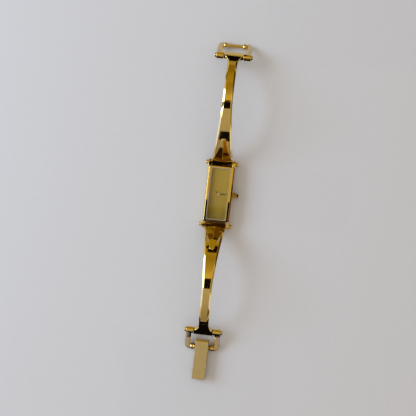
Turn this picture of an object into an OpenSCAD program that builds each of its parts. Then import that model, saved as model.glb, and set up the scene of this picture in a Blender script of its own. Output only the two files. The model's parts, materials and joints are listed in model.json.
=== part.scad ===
// Slim rectangular wristwatch on two hinged rigid bangle arms, stirrup ends and a fold-over clasp.
// Millimetres. The case back lies on z = 0, +X is the crown side, +Y the twelve o'clock end, +Z the dial.
// The watch lies open: both arms reach outward and the stirrups and the clasp rest on the same plane.

/* [Case] */
// Width of the case across its flanks
case_w = 12.2; // [11.6:0.1:14]
// Length of the case between its end walls
case_l = 26; // [25:0.5:30]
// Height of the bezel's top face above the case back
case_h = 5.6; // [5.6:0.1:6.6]
// Width of the outer bezel bevel seen from above
bezel_bevel = 0.55; // [0.3:0.05:0.7]
// Drop of the outer bezel bevel
bezel_drop = 0.8; // [0.4:0.1:1.2]
// Radius of the upright case corners
corner_r = 0.35; // [0.2:0.05:0.6]
// Thickness of the case wall along the flanks
side_wall = 1.3; // [1.1:0.05:1.4]
// Thickness of the case wall at the ends
end_wall = 1; // [0.9:0.05:1.2]
// Small bevel around the case's bottom edge
base_bevel = 0.3; // [0.1:0.05:0.5]

/* [Crystal and dial] */
// Width of the bezel frame along the flanks
bezel_side = 1.8; // [1.7:0.05:2.1]
// Width of the bezel frame at the ends
bezel_end = 1.4; // [1.4:0.05:3]
// Width of the seat that carries the crystal
crystal_seat = 0.3; // [0.2:0.05:0.35]
// Thickness of the crystal
crystal_t = 0.7; // [0.5:0.05:0.8]
// Width of the polished bevel around the crystal
crystal_bevel = 0.25; // [0.1:0.05:0.28]
// Depth of the crystal's face under the bezel's face
crystal_sink = 0.05; // [0:0.01:0.1]
// Thickness of the gasket under the crystal
crystal_gasket_t = 0.15; // [0.1:0.01:0.2]
// Room for the hands between the dial and the ledge's top
hand_room = 0.7; // [0.65:0.05:0.9]
// Thickness of the dial plate
dial_t = 0.3; // [0.2:0.05:0.4]
// Radius of the visible window's corners
window_r = 0.5; // [0.3:0.1:0.8]
// Radius of the dial's centre hole
dial_hole_r = 0.7; // [0.65:0.05:0.9]

/* [Case back] */
// Thickness of the snap-on case back plate
back_t = 0.6; // [0.5:0.05:0.7]
// Distance between the back plate's edge and the case's edge
back_inset = 0.4; // [0.3:0.05:0.6]
// Height of the snap lip inside the case
lip_h = 0.7; // [0.6:0.05:0.8]
// Thickness of the snap lip
lip_t = 0.4; // [0.35:0.05:0.5]
// Depth of the gasket groove in the lip
gasket_depth = 0.18; // [0.12:0.01:0.2]
// Height of the gasket groove
gasket_h = 0.25; // [0.2:0.01:0.3]
// Width of the opening notch under the back plate's edge
notch_w = 2.4; // [1.5:0.1:3]
// Depth of the opening notch
notch_d = 0.35; // [0.2:0.05:0.4]

/* [Lugs and case hinges] */
// Distance from the end wall to the hinge axis
hinge_out = 1.3; // [1.3:0.05:1.6]
// Height of the hinge axes above the case back
hinge_z = 2.6; // [2.3:0.1:3]
// Thickness of each lug
lug_t = 1.3; // [1.1:0.05:1.4]
// Radius of the lug's rounded end
lug_r = 1.7; // [1.5:0.05:1.9]
// Radius of the hinge pin
hinge_pin_r = 0.5; // [0.4:0.05:0.6]
// Radius of the arm's hinge barrel
hinge_barrel_r = 1.18; // [1:0.02:1.2]
// Radius of the turned flange on each pin end
finial_r = 1.15; // [0.9:0.05:1.3]
// Radius of the neck between lug and flange
finial_neck_r = 0.75; // [0.6:0.05:0.85]
// Length of the neck
finial_neck_l = 0.4; // [0.3:0.05:0.5]
// Thickness of the flange
finial_flange_l = 0.45; // [0.3:0.05:0.6]
// Radius of the domed button outside the flange
finial_button_r = 0.9; // [0.7:0.05:1]
// Length of the domed button
finial_button_l = 0.55; // [0.4:0.05:0.7]

/* [Arms] */
// Thickness of the arm band
arm_t = 1.6; // [1.4:0.05:1.8]
// Width of the band at the case hinge
arm_root_w = 9.4; // [8.6:0.1:9.4]
// Width of the band along its slender part
arm_slim_w = 4.4; // [3.8:0.1:5.2]
// Length over which the band narrows
arm_taper_l = 32; // [26:1:36]
// Curve of the narrowing, 1 for straight sides
arm_taper_power = 1.35; // [1:0.05:1.6]
// Width of the bevel along both top edges
arm_bevel = 0.75; // [0.4:0.05:0.9]
// Drop of that bevel
arm_bevel_drop = 0.45; // [0.2:0.05:0.6]
// Straight stretch next to the case hinge
root_straight = 3.6; // [3:0.1:4.5]
// Rise of that stretch above the arm's chord in degrees
root_angle = 45; // [44:0.5:46]
// Radius of the long inner curve
root_radius = 34.3; // [33:0.1:36]
// Radius of the tighter outer curve
tip_radius = 23; // [22:0.1:24]
// Fall of the outer stretch below the arm's chord in degrees
tip_angle = 48; // [47:0.5:50]
// Width of the T end at the stirrup's pin
tee_w = 8.8; // [8:0.1:9.2]
// Length of the concave flare before the T end
flare_l = 4.2; // [3:0.1:5]
// Length of the full-width band before the T end's pin
tee_l = 1; // [0.6:0.1:1.6]
// Reach of the T end's lip past that pin
tee_reach = 2.6; // [2.2:0.1:3]
// Radius of the lip's rounded edge
tee_lip_r = 0.8; // [0.65:0.05:0.9]
// Rise of the upper arm's chord above the table in degrees
upper_rest = 5.4; // [4.5:0.1:6.5]
// Rise of the lower arm's chord above the table in degrees
lower_rest = 1.9; // [1.2:0.1:3]

/* [Tongues] */
// Start of the raised tongue along the arm
tongue_start = 2.6; // [2.4:0.1:3]
// Length of the tongue up to its round tip
tongue_l = 10.8; // [9:0.1:12]
// Width of the tongue at its lip
tongue_root_w = 9.1; // [8:0.1:9.1]
// Width of the tongue at its tip
tongue_tip_w = 2.4; // [1.8:0.1:3]
// Curve of the tongue's sides
tongue_power = 1.4; // [1:0.05:1.8]
// Height of the tongue's ridge at the lip
ridge_h = 0.95; // [0.6:0.05:1.1]
// Height of the tongue's ridge at the tip
ridge_tip_h = 0.45; // [0.3:0.05:0.6]
// Height of the tongue's edges
tongue_edge_h = 0.22; // [0.15:0.01:0.3]

/* [Stirrups] */
// Distance from the stirrup's pin to its bar
stirrup_l = 8.4; // [8.2:0.1:10]
// Width over the two side strips
stirrup_w = 15.6; // [15.2:0.1:17]
// Width of each side strip
strip_w = 2.4; // [2.2:0.05:2.6]
// Thickness of the side strips
strip_t = 1.3; // [1.1:0.05:1.5]
// Length of the strip's rounded end beyond the bar
strip_end = 1.1; // [1:0.05:1.3]
// Radius of the eye barrels
eye_r = 1.5; // [1.4:0.05:1.6]
// Radius of the barrel on the T end
tee_barrel_r = 1.15; // [1.05:0.05:1.25]
// Radius of the stirrup's pin
stirrup_pin_r = 0.6; // [0.5:0.05:0.7]
// Radius of the pin's heads
pin_head_r = 1; // [0.85:0.05:1.15]
// Length of each pin head
pin_head_l = 0.8; // [0.5:0.1:1]
// Radius of the stirrup's bar
bar_r = 0.7; // [0.6:0.05:0.75]
// Radius of the rounded shoulders on the bar
bead_r = 1.3; // [1.2:0.05:1.4]
// Distance from the middle to the shoulder's widest place
bead_x = 4.45; // [4.4:0.05:4.8]

/* [Clasp] */
// Width of the clasp cover
cover_w = 6; // [5.6:0.1:6.1]
// Length of the clasp beyond the bar
clasp_l = 14.4; // [13:0.1:16]
// Height of the cover's top above the bar's axis
cover_top = 2.6; // [2.5:0.05:2.9]
// Thickness of the cover's sheet
cover_t = 0.6; // [0.5:0.05:0.7]
// Depth of the cover's side walls under the bar's axis
wall_down = 0.55; // [0.4:0.05:0.65]
// Distance from the bar to the cover's pin
cover_pin_back = 2.2; // [2.1:0.05:2.4]
// Height of the cover's pin above the bar's axis
cover_pin_up = 0.9; // [0.85:0.05:1]
// Radius of the cover's pin
cover_pin_r = 0.4; // [0.35:0.01:0.45]
// Thickness of the clasp's base plate
base_t = 0.5; // [0.4:0.05:0.55]
// Depth of the base plate's underside below the bar's axis
base_down = 1.28; // [1.26:0.01:1.3]
// Distance between the two bars that the clasp joins
bar_pitch = 11; // [10.5:0.1:11.5]
// Wall of the eye and the hook around the bars
hook_t = 0.5; // [0.4:0.05:0.52]
// Opening of the hook in degrees
hook_gap = 130; // [120:5:150]

/* [Crown] */
// Largest radius of the crown
crown_r = 1.4; // [1.2:0.05:1.5]
// Length of the crown
crown_l = 2.8; // [2.4:0.1:3.2]
// Length of the fluted part
flute_l = 1.6; // [1.2:0.1:1.8]
// Number of flutes
flute_n = 20; // [12:1:28]
// Radius of each flute
flute_r = 0.14; // [0.08:0.01:0.16]
// Gap between the case and the crown pushed in
crown_gap = 0.12; // [0.1:0.01:0.2]
// Travel of the crown when it is pulled out
crown_pull = 1; // [0.8:0.1:1]
// Radius of the stem
stem_r = 0.3; // [0.26:0.01:0.3]
// Radius of the stem inside the tube
stem_neck_r = 0.36; // [0.34:0.01:0.4]
// Distance from the middle to the stem's inner end
stem_in = 1.25; // [1.2:0.05:1.35]
// Outer radius of the crown tube
tube_r = 0.75; // [0.7:0.01:0.8]
// Length of the tube outside the case
tube_out = 0.5; // [0.4:0.05:0.6]
// Radius of the crown's recess over the tube
recess_r = 1; // [0.95:0.01:1.05]
// Depth of the crown's recess
recess_d = 0.9; // [0.8:0.05:1]
// Thickness of the crown's sealing ring
seal_t = 0.2; // [0.15:0.01:0.25]

/* [Hands] */
// Length of the minute hand
minute_l = 3.5; // [3:0.1:4]
// Length of the hour hand
hour_l = 1.85; // [1.6:0.05:2.6]
// Width of both hands at the hub
hand_w = 0.36; // [0.25:0.01:0.45]
// Width of both hands at the tip
hand_tip_w = 0.2; // [0.1:0.01:0.25]
// Thickness of both hands
hand_t = 0.1; // [0.08:0.01:0.12]
// Direction of the minute hand, counter-clockwise from +X
minute_at = 3; // [0:1:360]
// Direction of the hour hand, counter-clockwise from +X
hour_at = 143; // [0:1:360]

/* [Movement] */
// Width of the movement ring along the flanks
ring_side = 0.6; // [0.55:0.05:0.8]
// Length of the movement's main plate
movement_l = 17; // [16.6:0.1:19]
// Thickness of the main plate
plate_t = 0.6; // [0.55:0.05:0.65]
// Height between the main plate and the dial
motion_h = 0.66; // [0.64:0.01:0.7]
// Height between the main plate and the train bridge
train_h = 0.65; // [0.6:0.05:0.65]
// Thickness of the train bridge
bridge_t = 0.25; // [0.2:0.01:0.28]
// Radius of the battery
battery_r = 2.8; // [2.4:0.05:2.85]
// Thickness of the battery
battery_t = 1.2; // [1.05:0.05:1.25]
// Gap between the battery and the centre wheel's teeth
battery_gap = 0.15; // [0.1:0.05:0.25]
// Radius of the coil
coil_r = 0.65; // [0.5:0.05:0.7]
// Width of the blocks at both ends of the coil
block_w = 0.9; // [0.6:0.05:1.1]
// Distance between those blocks and the movement's edge
block_in = 0.5; // [0.2:0.05:0.95]
// Distance from the centre to the coil
coil_y = 6.4; // [6.3:0.05:6.5]
// Radius of the quartz can
can_r = 0.48; // [0.4:0.02:0.5]
// Length of the quartz can
can_l = 4.2; // [3.5:0.1:5]
// Distance from the coil to the quartz can
can_step = 1.35; // [1.3:0.05:1.4]
// Thickness of the circuit board
board_t = 0.2; // [0.15:0.01:0.25]
// Radius of the bridge screws' heads
screw_head_r = 0.4; // [0.35:0.01:0.45]
// Radius of the bridge screws' shanks
screw_r = 0.2; // [0.15:0.01:0.22]
// Radius of the bridge pillars
pillar_r = 0.5; // [0.45:0.01:0.55]
// Distance between the pillars and the movement's edge
pillar_in = 0.2; // [0.15:0.01:0.3]
// Distance from the centre to the upper pillar
pillar_up = 3.6; // [3.2:0.1:4.2]
// Distance from the centre to the lower pillar
pillar_down = 1.5; // [1.4:0.1:1.5]

/* [Gears] */
// Gear module
gear_m = 0.1; // [0.08:0.005:0.1]
// Teeth on the cannon pinion
cannon_n = 10; // [9:1:12]
// Teeth on the minute wheel
minute_wheel_n = 30; // [28:1:32]
// Teeth on the minute pinion
minute_pinion_n = 8; // [7:1:10]
// Teeth on the centre wheel
centre_wheel_n = 48; // [44:1:50]
// Teeth on the third wheel's pinion
third_pinion_n = 8; // [7:1:10]
// Teeth on the third wheel
third_wheel_n = 44; // [40:1:45]
// Direction from the centre to the third wheel in degrees
third_at = 110; // [105:1:115]
// Thickness of the wheels
wheel_t = 0.18; // [0.14:0.01:0.2]
// Radius of the fine arbors
arbor_r = 0.12; // [0.1:0.01:0.13]
// Inner radius of the hour wheel's pipe
hour_pipe_r = 0.36; // [0.35:0.01:0.38]
// Outer radius of the cannon pinion's pipe
cannon_pipe_r = 0.3; // [0.27:0.01:0.3]
// Wall of the hour wheel's pipe
hour_pipe_t = 0.18; // [0.14:0.01:0.2]

/* [Fits] */
// Radial play of every running pin and arbor
run_fit = 0.04; // [0.03:0.005:0.05]
// Radial play of every fixed pin
fixed_fit = 0.02; // [0.01:0.005:0.03]
// Play between faces that move past each other
side_play = 0.1; // [0.08:0.01:0.12]
// Play between pieces that are seated on each other
seat_play = 0.02; // [0.01:0.005:0.03]
// Play of inner pieces inside the case
inner_play = 0.05; // [0.04:0.01:0.08]

/* [Hidden] */

$fn = 48;
// Overlap that keeps a cut clear of the face that it leaves by
over = 0.4;
round_fn = 64;
fine_fn = 24;

gold = [0.83, 0.66, 0.30];
champagne = [0.82, 0.74, 0.50];
steel = [0.72, 0.73, 0.75];
brass = [0.78, 0.66, 0.36];
black = [0.08, 0.08, 0.08];
copper = [0.72, 0.40, 0.22];
green = [0.15, 0.35, 0.22];
clear = [0.85, 0.90, 0.92, 0.4];

// Levels inside the case, from the crystal down to the back
crystal_z1 = case_h - crystal_sink;
crystal_z0 = crystal_z1 - crystal_t;
ledge_z1 = crystal_z0 - crystal_gasket_t;
dial_z1 = ledge_z1 - hand_room;
dial_z0 = dial_z1 - dial_t;
motion_z1 = dial_z0;
plate_z1 = motion_z1 - motion_h;
plate_z0 = plate_z1 - plate_t;
bridge_z1 = plate_z0 - train_h;
bridge_z0 = bridge_z1 - bridge_t;
stem_z = plate_z0 + plate_t / 2;
lip_z1 = back_t + lip_h;

// Plan sizes inside the case
window_w = case_w - 2 * bezel_side;
window_l = case_l - 2 * bezel_end;
crystal_w = window_w + 2 * crystal_seat;
crystal_l = window_l + 2 * crystal_seat;
cavity_w = case_w - 2 * side_wall;
cavity_l = case_l - 2 * end_wall;
dial_w = cavity_w - 2 * inner_play;
dial_l = cavity_l - 2 * inner_play;
lip_w = cavity_w - 2 * inner_play;
lip_l = cavity_l - 2 * inner_play;
movement_w = dial_w - 2 * (ring_side + inner_play);
coil_l = movement_w - 2 * (block_w + block_in);

// The hour wheel turns on the cannon pinion's axis, so its teeth make up the same distance
hour_wheel_n = cannon_n + minute_wheel_n - minute_pinion_n;
battery_y = gear_m * (centre_wheel_n / 2 + 1) + battery_gap + battery_r;

// Case hinges
hinge_y = case_l / 2 + hinge_out;
lug_gap = case_w - 2 * lug_t;
barrel_w = lug_gap - 2 * side_play;
root_w = min(arm_root_w, barrel_w - 2 * seat_play);

// The arm's mid-line: straight, long curve, tight curve, straight, measured from the hinge axis
root_arc = root_radius * root_angle * PI / 180;
tip_arc = tip_radius * tip_angle * PI / 180;
curve_rise = root_straight * sin(root_angle) + root_radius * (1 - cos(root_angle));
tip_straight = (curve_rise - tip_radius * (1 - cos(tip_angle))) / sin(tip_angle);
apex_s = root_straight + root_arc;
bend_end = apex_s + tip_arc;
arm_l = bend_end + tip_straight;
apex_u = root_straight * cos(root_angle) + root_radius * sin(root_angle);
chord = apex_u + tip_radius * sin(tip_angle) + tip_straight * cos(tip_angle);

function slope(s) =
    s < root_straight ? root_angle :
    s < apex_s ? root_angle - (s - root_straight) / root_radius * 180 / PI :
    s < bend_end ? -(s - apex_s) / tip_radius * 180 / PI :
    -tip_angle;
function mid_u(s) =
    s < root_straight ? s * cos(root_angle) :
    s < apex_s ? root_straight * cos(root_angle) + root_radius * (sin(root_angle) - sin(slope(s))) :
    s < bend_end ? apex_u + tip_radius * sin(-slope(s)) :
    apex_u + tip_radius * sin(tip_angle) + (s - bend_end) * cos(tip_angle);
function mid_v(s) =
    s < root_straight ? s * sin(root_angle) :
    s < apex_s ? curve_rise - root_radius * (1 - cos(slope(s))) :
    s < bend_end ? curve_rise - tip_radius * (1 - cos(slope(s))) :
    (arm_l - s) * sin(tip_angle);
// A point on the arm: along it, across it and out from its mid-line
function on_arm(s, x, n) = [x, mid_u(s) - n * sin(slope(s)), mid_v(s) + n * cos(slope(s))];

// Half widths along the arm and the tongue
flare_s = arm_l - tee_l - flare_l;
function flare(s) =
    s < flare_s ? 0 :
    s > flare_s + flare_l ? 1 :
    1 - sqrt(max(0, 1 - pow((s - flare_s) / flare_l, 2)));
function taper(s) =
    s < tongue_start ? 1 :
    s < arm_taper_l ? pow((arm_taper_l - s) / (arm_taper_l - tongue_start), arm_taper_power) : 0;
function arm_half(s) =
    (arm_slim_w + (root_w - arm_slim_w) * taper(s) + (tee_w - 2 * seat_play - arm_slim_w) * flare(s)) / 2;
tongue_end = tongue_start + tongue_l;
tongue_tip_r = tongue_tip_w / 2;
least_bevel = 0.12;
tongue_lip_w = min(tongue_root_w, root_w - 2 * least_bevel);
function tongue_side(s) =
    tongue_tip_r + (tongue_lip_w / 2 - tongue_tip_r)
    * pow(max(0, 1 - (s - tongue_start) / tongue_l), tongue_power);
function tongue_half(s) =
    s < tongue_end ? tongue_side(s)
    : tongue_tip_r * sqrt(max(0, 1 - pow((s - tongue_end) / tongue_tip_r, 2)));
function free_edge(s) = arm_half(s) - (s < tongue_end + tongue_tip_r ? tongue_half(s) : 0);
function bevel_at(s) = max(least_bevel, min(arm_bevel, free_edge(s)));
function ridge_at(s) =
    ridge_h + (ridge_tip_h - ridge_h) * min(1, (s - tongue_start) / tongue_l);

// Cross-sections, each listed counter-clockwise as seen from the hinge outward
function arm_ring(s) =
    let (h = arm_half(s), b = bevel_at(s), d = arm_bevel_drop * b / arm_bevel, t = arm_t / 2)
    [on_arm(s, -h, -t), on_arm(s, h, -t), on_arm(s, h, t - d),
     on_arm(s, h - b, t), on_arm(s, b - h, t), on_arm(s, -h, t - d)];
function tongue_ring(s, shrink) =
    let (h = tongue_half(s), n = arm_t / 2 + seat_play)
    [on_arm(s, -h, n), on_arm(s, h, n), on_arm(s, h, n + tongue_edge_h),
     on_arm(s, 0, n + tongue_edge_h + (ridge_at(s) - tongue_edge_h) * shrink),
     on_arm(s, -h, n + tongue_edge_h)];

// Stations along the arm and the tongue
station_step = 1.1;
flare_stations = 9;
weld = 0.17;
band_start = hinge_pin_r + run_fit + weld;
band_end = arm_l - stirrup_pin_r - run_fit - weld;
arm_stations = concat(
    [for (i = [0 : floor((flare_s - band_start) / station_step)]) band_start + i * station_step],
    [for (i = [1 : flare_stations]) flare_s + flare_l * sin(90 * i / flare_stations)],
    [band_end]);
tip_stations = 5;
tongue_stations = concat(
    [for (s = arm_stations) if (s > tongue_start + station_step / 4 && s < tongue_end) s],
    [for (i = [0 : tip_stations - 1]) tongue_end + tongue_tip_r * sin(80 * i / (tip_stations - 1))]);

// The stirrups' and the clasp's rest positions: their bars lie on the table
bar_z = bead_r;
upper_eye_z = hinge_z + chord * sin(upper_rest);
lower_eye_z = hinge_z + chord * sin(lower_rest);
upper_tilt = asin((upper_eye_z - bar_z) / stirrup_l);
lower_tilt = asin((lower_eye_z - bar_z) / stirrup_l);
tee_half = tee_w / 2;
stirrup_in = tee_half + side_play;
strip_in = stirrup_w / 2 - strip_w;
strip_r = strip_w;

// Clasp sizes
cap_r = cover_top - cover_pin_up;
cover_in = cover_w / 2 - cover_t;
clasp_half = cover_in - side_play * 2;
bar_bore = bar_r + run_fit;
bar_swing = sqrt(cover_pin_back * cover_pin_back + cover_pin_up * cover_pin_up);
notch_play = 0.16;
notch_in = bar_swing - bar_r - notch_play;
notch_out = bar_swing + bar_r + notch_play;

// A solid whose profile lies in the YZ plane, from x0 to x1
module along_x(x0, x1) {
    translate([x0, 0, 0])
        rotate([90, 0, 90])
            linear_extrude(height = x1 - x0)
                children();
}

// A rod along X
module rod(r, x0, x1, fn = 48) {
    translate([x0, 0, 0])
        rotate([0, 90, 0])
            cylinder(r = r, h = x1 - x0, $fn = fn);
}

// A turned solid around X, its profile given as [radius, distance along X]
module turned(points) {
    rotate([0, 90, 0])
        rotate_extrude($fn = round_fn)
            polygon(points);
}

module rounded_rect(w, l, r) {
    square([w - 2 * r, l], center = true);
    square([w, l - 2 * r], center = true);
    for (x = [-1, 1], y = [-1, 1])
        translate([x * (w / 2 - r), y * (l / 2 - r)])
            circle(r = r, $fn = 32);
}

module slab(w, l, r, z0, z1) {
    translate([0, 0, z0])
        linear_extrude(height = z1 - z0)
            rounded_rect(w, l, r);
}

// The outline of a block of width w with bevels on its top edge and on its bottom edge
module bevelled(w, z0, z1, b, drop, base) {
    polygon([[-w / 2 + base, z0], [w / 2 - base, z0], [w / 2, z0 + base], [w / 2, z1 - drop],
        [w / 2 - b, z1], [-w / 2 + b, z1], [-w / 2, z1 - drop], [-w / 2, z0 + base]]);
}

module bevelled_block(w, l, r, z0, z1, b, drop, base) {
    intersection() {
        slab(w, l, r, z0, z1);
        along_x(-w, w)
            bevelled(l, z0, z1, b, drop, base);
        translate([0, l, 0])
            rotate([90, 0, 0])
                linear_extrude(height = 2 * l)
                    bevelled(w, z0, z1, b, drop, base);
    }
}

// A skin through rings of points that all have the same count
module skin(rings) {
    n = len(rings[0]);
    m = len(rings);
    points = [for (ring = rings) for (p = ring) p];
    sides = [for (i = [0 : m - 2]) for (j = [0 : n - 1])
        let (a = i * n + j, b = i * n + (j + 1) % n, c = a + n, d = b + n)
        each [[a, d, c], [a, b, d]]];
    first = [[for (j = [n - 1 : -1 : 0]) j]];
    last = [[for (j = [0 : n - 1]) (m - 1) * n + j]];
    polyhedron(points = points, faces = concat(first, sides, last), convexity = 6);
}

// A gear whose first tooth points in the direction at, in degrees
module gear_outline(n, at) {
    pitch_r = gear_m * n / 2;
    tip_r = pitch_r + gear_m;
    base_r = pitch_r - 1.25 * gear_m;
    foot = 135 / n;
    tip = 39 / n;
    turns = [-foot, -tip, tip, foot];
    polygon([for (i = [0 : n - 1], k = [0 : 3])
        let (a = at + 360 * i / n,
            r = k == 0 || k == 3 ? base_r : tip_r,
            turn = turns[k])
        [r * cos(a + turn), r * sin(a + turn)]]);
}

module gear(n, at, bore, z0, z1) {
    translate([0, 0, z0])
        linear_extrude(height = z1 - z0)
            difference() {
                gear_outline(n, at);
                circle(r = bore, $fn = fine_fn);
            }
}

module at_upper_hinge() {
    translate([0, hinge_y, hinge_z])
        children();
}

module at_lower_hinge() {
    mirror([0, 1, 0])
        at_upper_hinge()
            children();
}

module at_upper_arm() {
    at_upper_hinge()
        rotate([upper_rest, 0, 0])
            children();
}

module at_lower_arm() {
    at_lower_hinge()
        rotate([lower_rest, 0, 0])
            children();
}

module at_upper_eye() {
    translate([0, hinge_y + chord * cos(upper_rest), upper_eye_z])
        rotate([-upper_tilt, 0, 0])
            children();
}

module at_lower_eye() {
    mirror([0, 1, 0])
        translate([0, hinge_y + chord * cos(lower_rest), lower_eye_z])
            rotate([-lower_tilt, 0, 0])
                children();
}

// The clasp's frame: origin on the lower bar, +Y away from the watch, level
module at_clasp() {
    mirror([0, 1, 0])
        translate([0, hinge_y + chord * cos(lower_rest) + stirrup_l * cos(lower_tilt), bar_z])
            children();
}

// Lug plates at one end, drawn at the +Y end
module lugs() {
    for (side = [-1, 1])
        along_x(side > 0 ? case_w / 2 - lug_t : -case_w / 2, side > 0 ? case_w / 2 : lug_t - case_w / 2)
            union() {
                translate([hinge_y, hinge_z])
                    circle(r = lug_r, $fn = round_fn);
                translate([case_l / 2 - end_wall / 2, hinge_z - lug_r])
                    square([hinge_out + end_wall / 2, 2 * lug_r]);
            }
}

module case_middle() {
    color(gold)
        difference() {
            union() {
                bevelled_block(case_w, case_l, corner_r, back_t + seat_play, case_h,
                    bezel_bevel, bezel_drop, base_bevel);
                lugs();
                mirror([0, 1, 0])
                    lugs();
            }
            slab(cavity_w, cavity_l, window_r, 0, dial_z1 + seat_play);
            slab(window_w, window_l, window_r, dial_z1 - over, case_h + over);
            slab(crystal_w + 2 * inner_play, crystal_l + 2 * inner_play, window_r, ledge_z1, case_h + over);
            translate([0, 0, stem_z])
                rod(tube_r + fixed_fit, cavity_w / 2 - over, case_w / 2 + over);
            for (end = [-1, 1])
                translate([0, end * hinge_y, hinge_z])
                    rod(hinge_pin_r + fixed_fit, -case_w, case_w);
        }
}

module case_back() {
    color(steel)
        difference() {
            union() {
                slab(case_w - 2 * back_inset, case_l - 2 * back_inset, corner_r, 0, back_t);
                slab(lip_w, lip_l, window_r, back_t / 2, lip_z1);
            }
            slab(lip_w - 2 * lip_t, lip_l - 2 * lip_t, window_r, back_t, lip_z1 + over);
            difference() {
                slab(lip_w + over, lip_l + over, window_r, lip_z1 - 2 * gasket_h, lip_z1 - gasket_h);
                slab(lip_w - 2 * gasket_depth, lip_l - 2 * gasket_depth, window_r,
                    back_t, lip_z1);
            }
            translate([-notch_w / 2, case_l / 2 - back_inset - notch_d, -over])
                cube([notch_w, notch_d + over, over + notch_d]);
        }
}

module case_back_gasket() {
    color(black)
        difference() {
            slab(cavity_w - 2 * seat_play, cavity_l - 2 * seat_play, window_r,
                lip_z1 - 2 * gasket_h + seat_play, lip_z1 - gasket_h - seat_play);
            slab(lip_w - 2 * gasket_depth + 2 * seat_play, lip_l - 2 * gasket_depth + 2 * seat_play,
                window_r, 0, lip_z1);
        }
}

module crystal() {
    color(clear)
        bevelled_block(crystal_w, crystal_l, window_r, crystal_z0, crystal_z1,
            crystal_bevel, crystal_bevel, 0);
}

module crystal_gasket() {
    color(black)
        difference() {
            slab(crystal_w, crystal_l, window_r, ledge_z1 + seat_play / 2, crystal_z0 - seat_play / 2);
            slab(window_w + 2 * inner_play, window_l + 2 * inner_play, window_r, ledge_z1 - over,
                crystal_z0 + over);
        }
}

module dial() {
    color(champagne)
        difference() {
            slab(dial_w, dial_l, window_r, dial_z0, dial_z1);
            cylinder(r = dial_hole_r, h = case_h);
        }
}

module movement_ring() {
    ring_z1 = dial_z0 - seat_play;
    ring_z0 = lip_z1 + seat_play;
    color([0.85, 0.85, 0.82])
        difference() {
            slab(dial_w, dial_l, window_r, ring_z0, ring_z1);
            slab(movement_w + 2 * inner_play, movement_l + 2 * inner_play, window_r,
                ring_z0 - over, ring_z1 + over);
            translate([0, 0, stem_z])
                rod(tube_r, movement_w / 2 - over, case_w / 2);
        }
}

third_x = gear_m * (centre_wheel_n + third_pinion_n) / 2 * cos(third_at);
third_y = gear_m * (centre_wheel_n + third_pinion_n) / 2 * sin(third_at);
minute_post_y = -gear_m * (cannon_n + minute_wheel_n) / 2;
pillar_x = movement_w / 2 - pillar_r - pillar_in;
pillars = [[pillar_x, pillar_up], [-pillar_x, -pillar_down]];
board_l = 2.7;
board_y = movement_l / 2 - board_l / 2 - inner_play;

module main_plate() {
    slot_w = 2 * (stem_neck_r + 0.3);
    color(brass)
        difference() {
            union() {
                slab(movement_w, movement_l, window_r, plate_z0, plate_z1);
                translate([0, minute_post_y, plate_z1 - plate_t / 2])
                    cylinder(r = arbor_r, h = motion_h + plate_t / 2 - inner_play, $fn = fine_fn);
            }
            translate([0, 0, plate_z0 - over])
                cylinder(r = cannon_pipe_r + inner_play, h = plate_t + 2 * over, $fn = fine_fn);
            translate([third_x, third_y, plate_z0 - over])
                cylinder(r = arbor_r + run_fit, h = over + plate_t / 2, $fn = fine_fn);
            translate([0, -battery_y, plate_z0 - over])
                cylinder(r = battery_r + inner_play, h = over + plate_t / 2, $fn = round_fn);
            translate([stem_in - side_play, -slot_w / 2, plate_z0 - over])
                cube([movement_w, slot_w, plate_t + 2 * over]);
            translate([stem_in + lever_back - side_play, -slot_w / 2, plate_z0 - over])
                cube([lever_w + crown_pull + 2 * side_play, slot_w / 2 + lever_l + side_play,
                    plate_t + 2 * over]);
            for (p = pillars)
                translate([p[0], p[1], plate_z0 - over])
                    cylinder(r = screw_r + fixed_fit, h = over + plate_t / 2, $fn = fine_fn);
        }
}

module train_bridge() {
    bridge_y0 = -2;
    bridge_l = 7.4;
    bridge_w = movement_w - 2 * inner_play;
    color(brass)
        difference() {
            union() {
                translate([-bridge_w / 2, bridge_y0, bridge_z0])
                    cube([bridge_w, bridge_l, bridge_t]);
                for (p = pillars)
                    translate([p[0], p[1], bridge_z0])
                        cylinder(r = pillar_r, h = bridge_t + train_h, $fn = fine_fn);
            }
            translate([0, -battery_y, bridge_z0 - over])
                cylinder(r = battery_r + side_play, h = bridge_t + train_h + 2 * over, $fn = round_fn);
            translate([0, 0, bridge_z0 - over])
                cylinder(r = arbor_r + run_fit, h = bridge_t + 2 * over, $fn = fine_fn);
            translate([third_x, third_y, bridge_z0 - over])
                cylinder(r = arbor_r + run_fit, h = bridge_t + 2 * over, $fn = fine_fn);
            for (p = pillars)
                translate([p[0], p[1], bridge_z0 - over])
                    cylinder(r = screw_r + fixed_fit, h = bridge_t + train_h + 2 * over, $fn = fine_fn);
        }
}

module bridge_screws() {
    head_t = 0.16;
    color(steel)
        for (p = pillars)
            translate([p[0], p[1], bridge_z0 - head_t])
                difference() {
                    union() {
                        cylinder(r = screw_head_r, h = head_t, $fn = fine_fn);
                        cylinder(r = screw_r, h = head_t + bridge_t + train_h + plate_t / 3, $fn = fine_fn);
                    }
                    translate([-screw_head_r, -screw_r / 3, -over])
                        cube([2 * screw_head_r, screw_r / 1.5, over + head_t / 2]);
                }
}

battery_z1 = plate_z0 + plate_t / 2 - 2 * seat_play;
battery_z0 = battery_z1 - battery_t;

module battery() {
    color(steel)
        translate([0, -battery_y, battery_z0])
            difference() {
                cylinder(r = battery_r, h = battery_t, $fn = round_fn);
                difference() {
                    translate([0, 0, -over])
                        cylinder(r = battery_r * 0.86, h = over + seat_play * 2, $fn = round_fn);
                    translate([0, 0, -over])
                        cylinder(r = battery_r * 0.8, h = 2 * over, $fn = round_fn);
                }
            }
}

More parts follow.
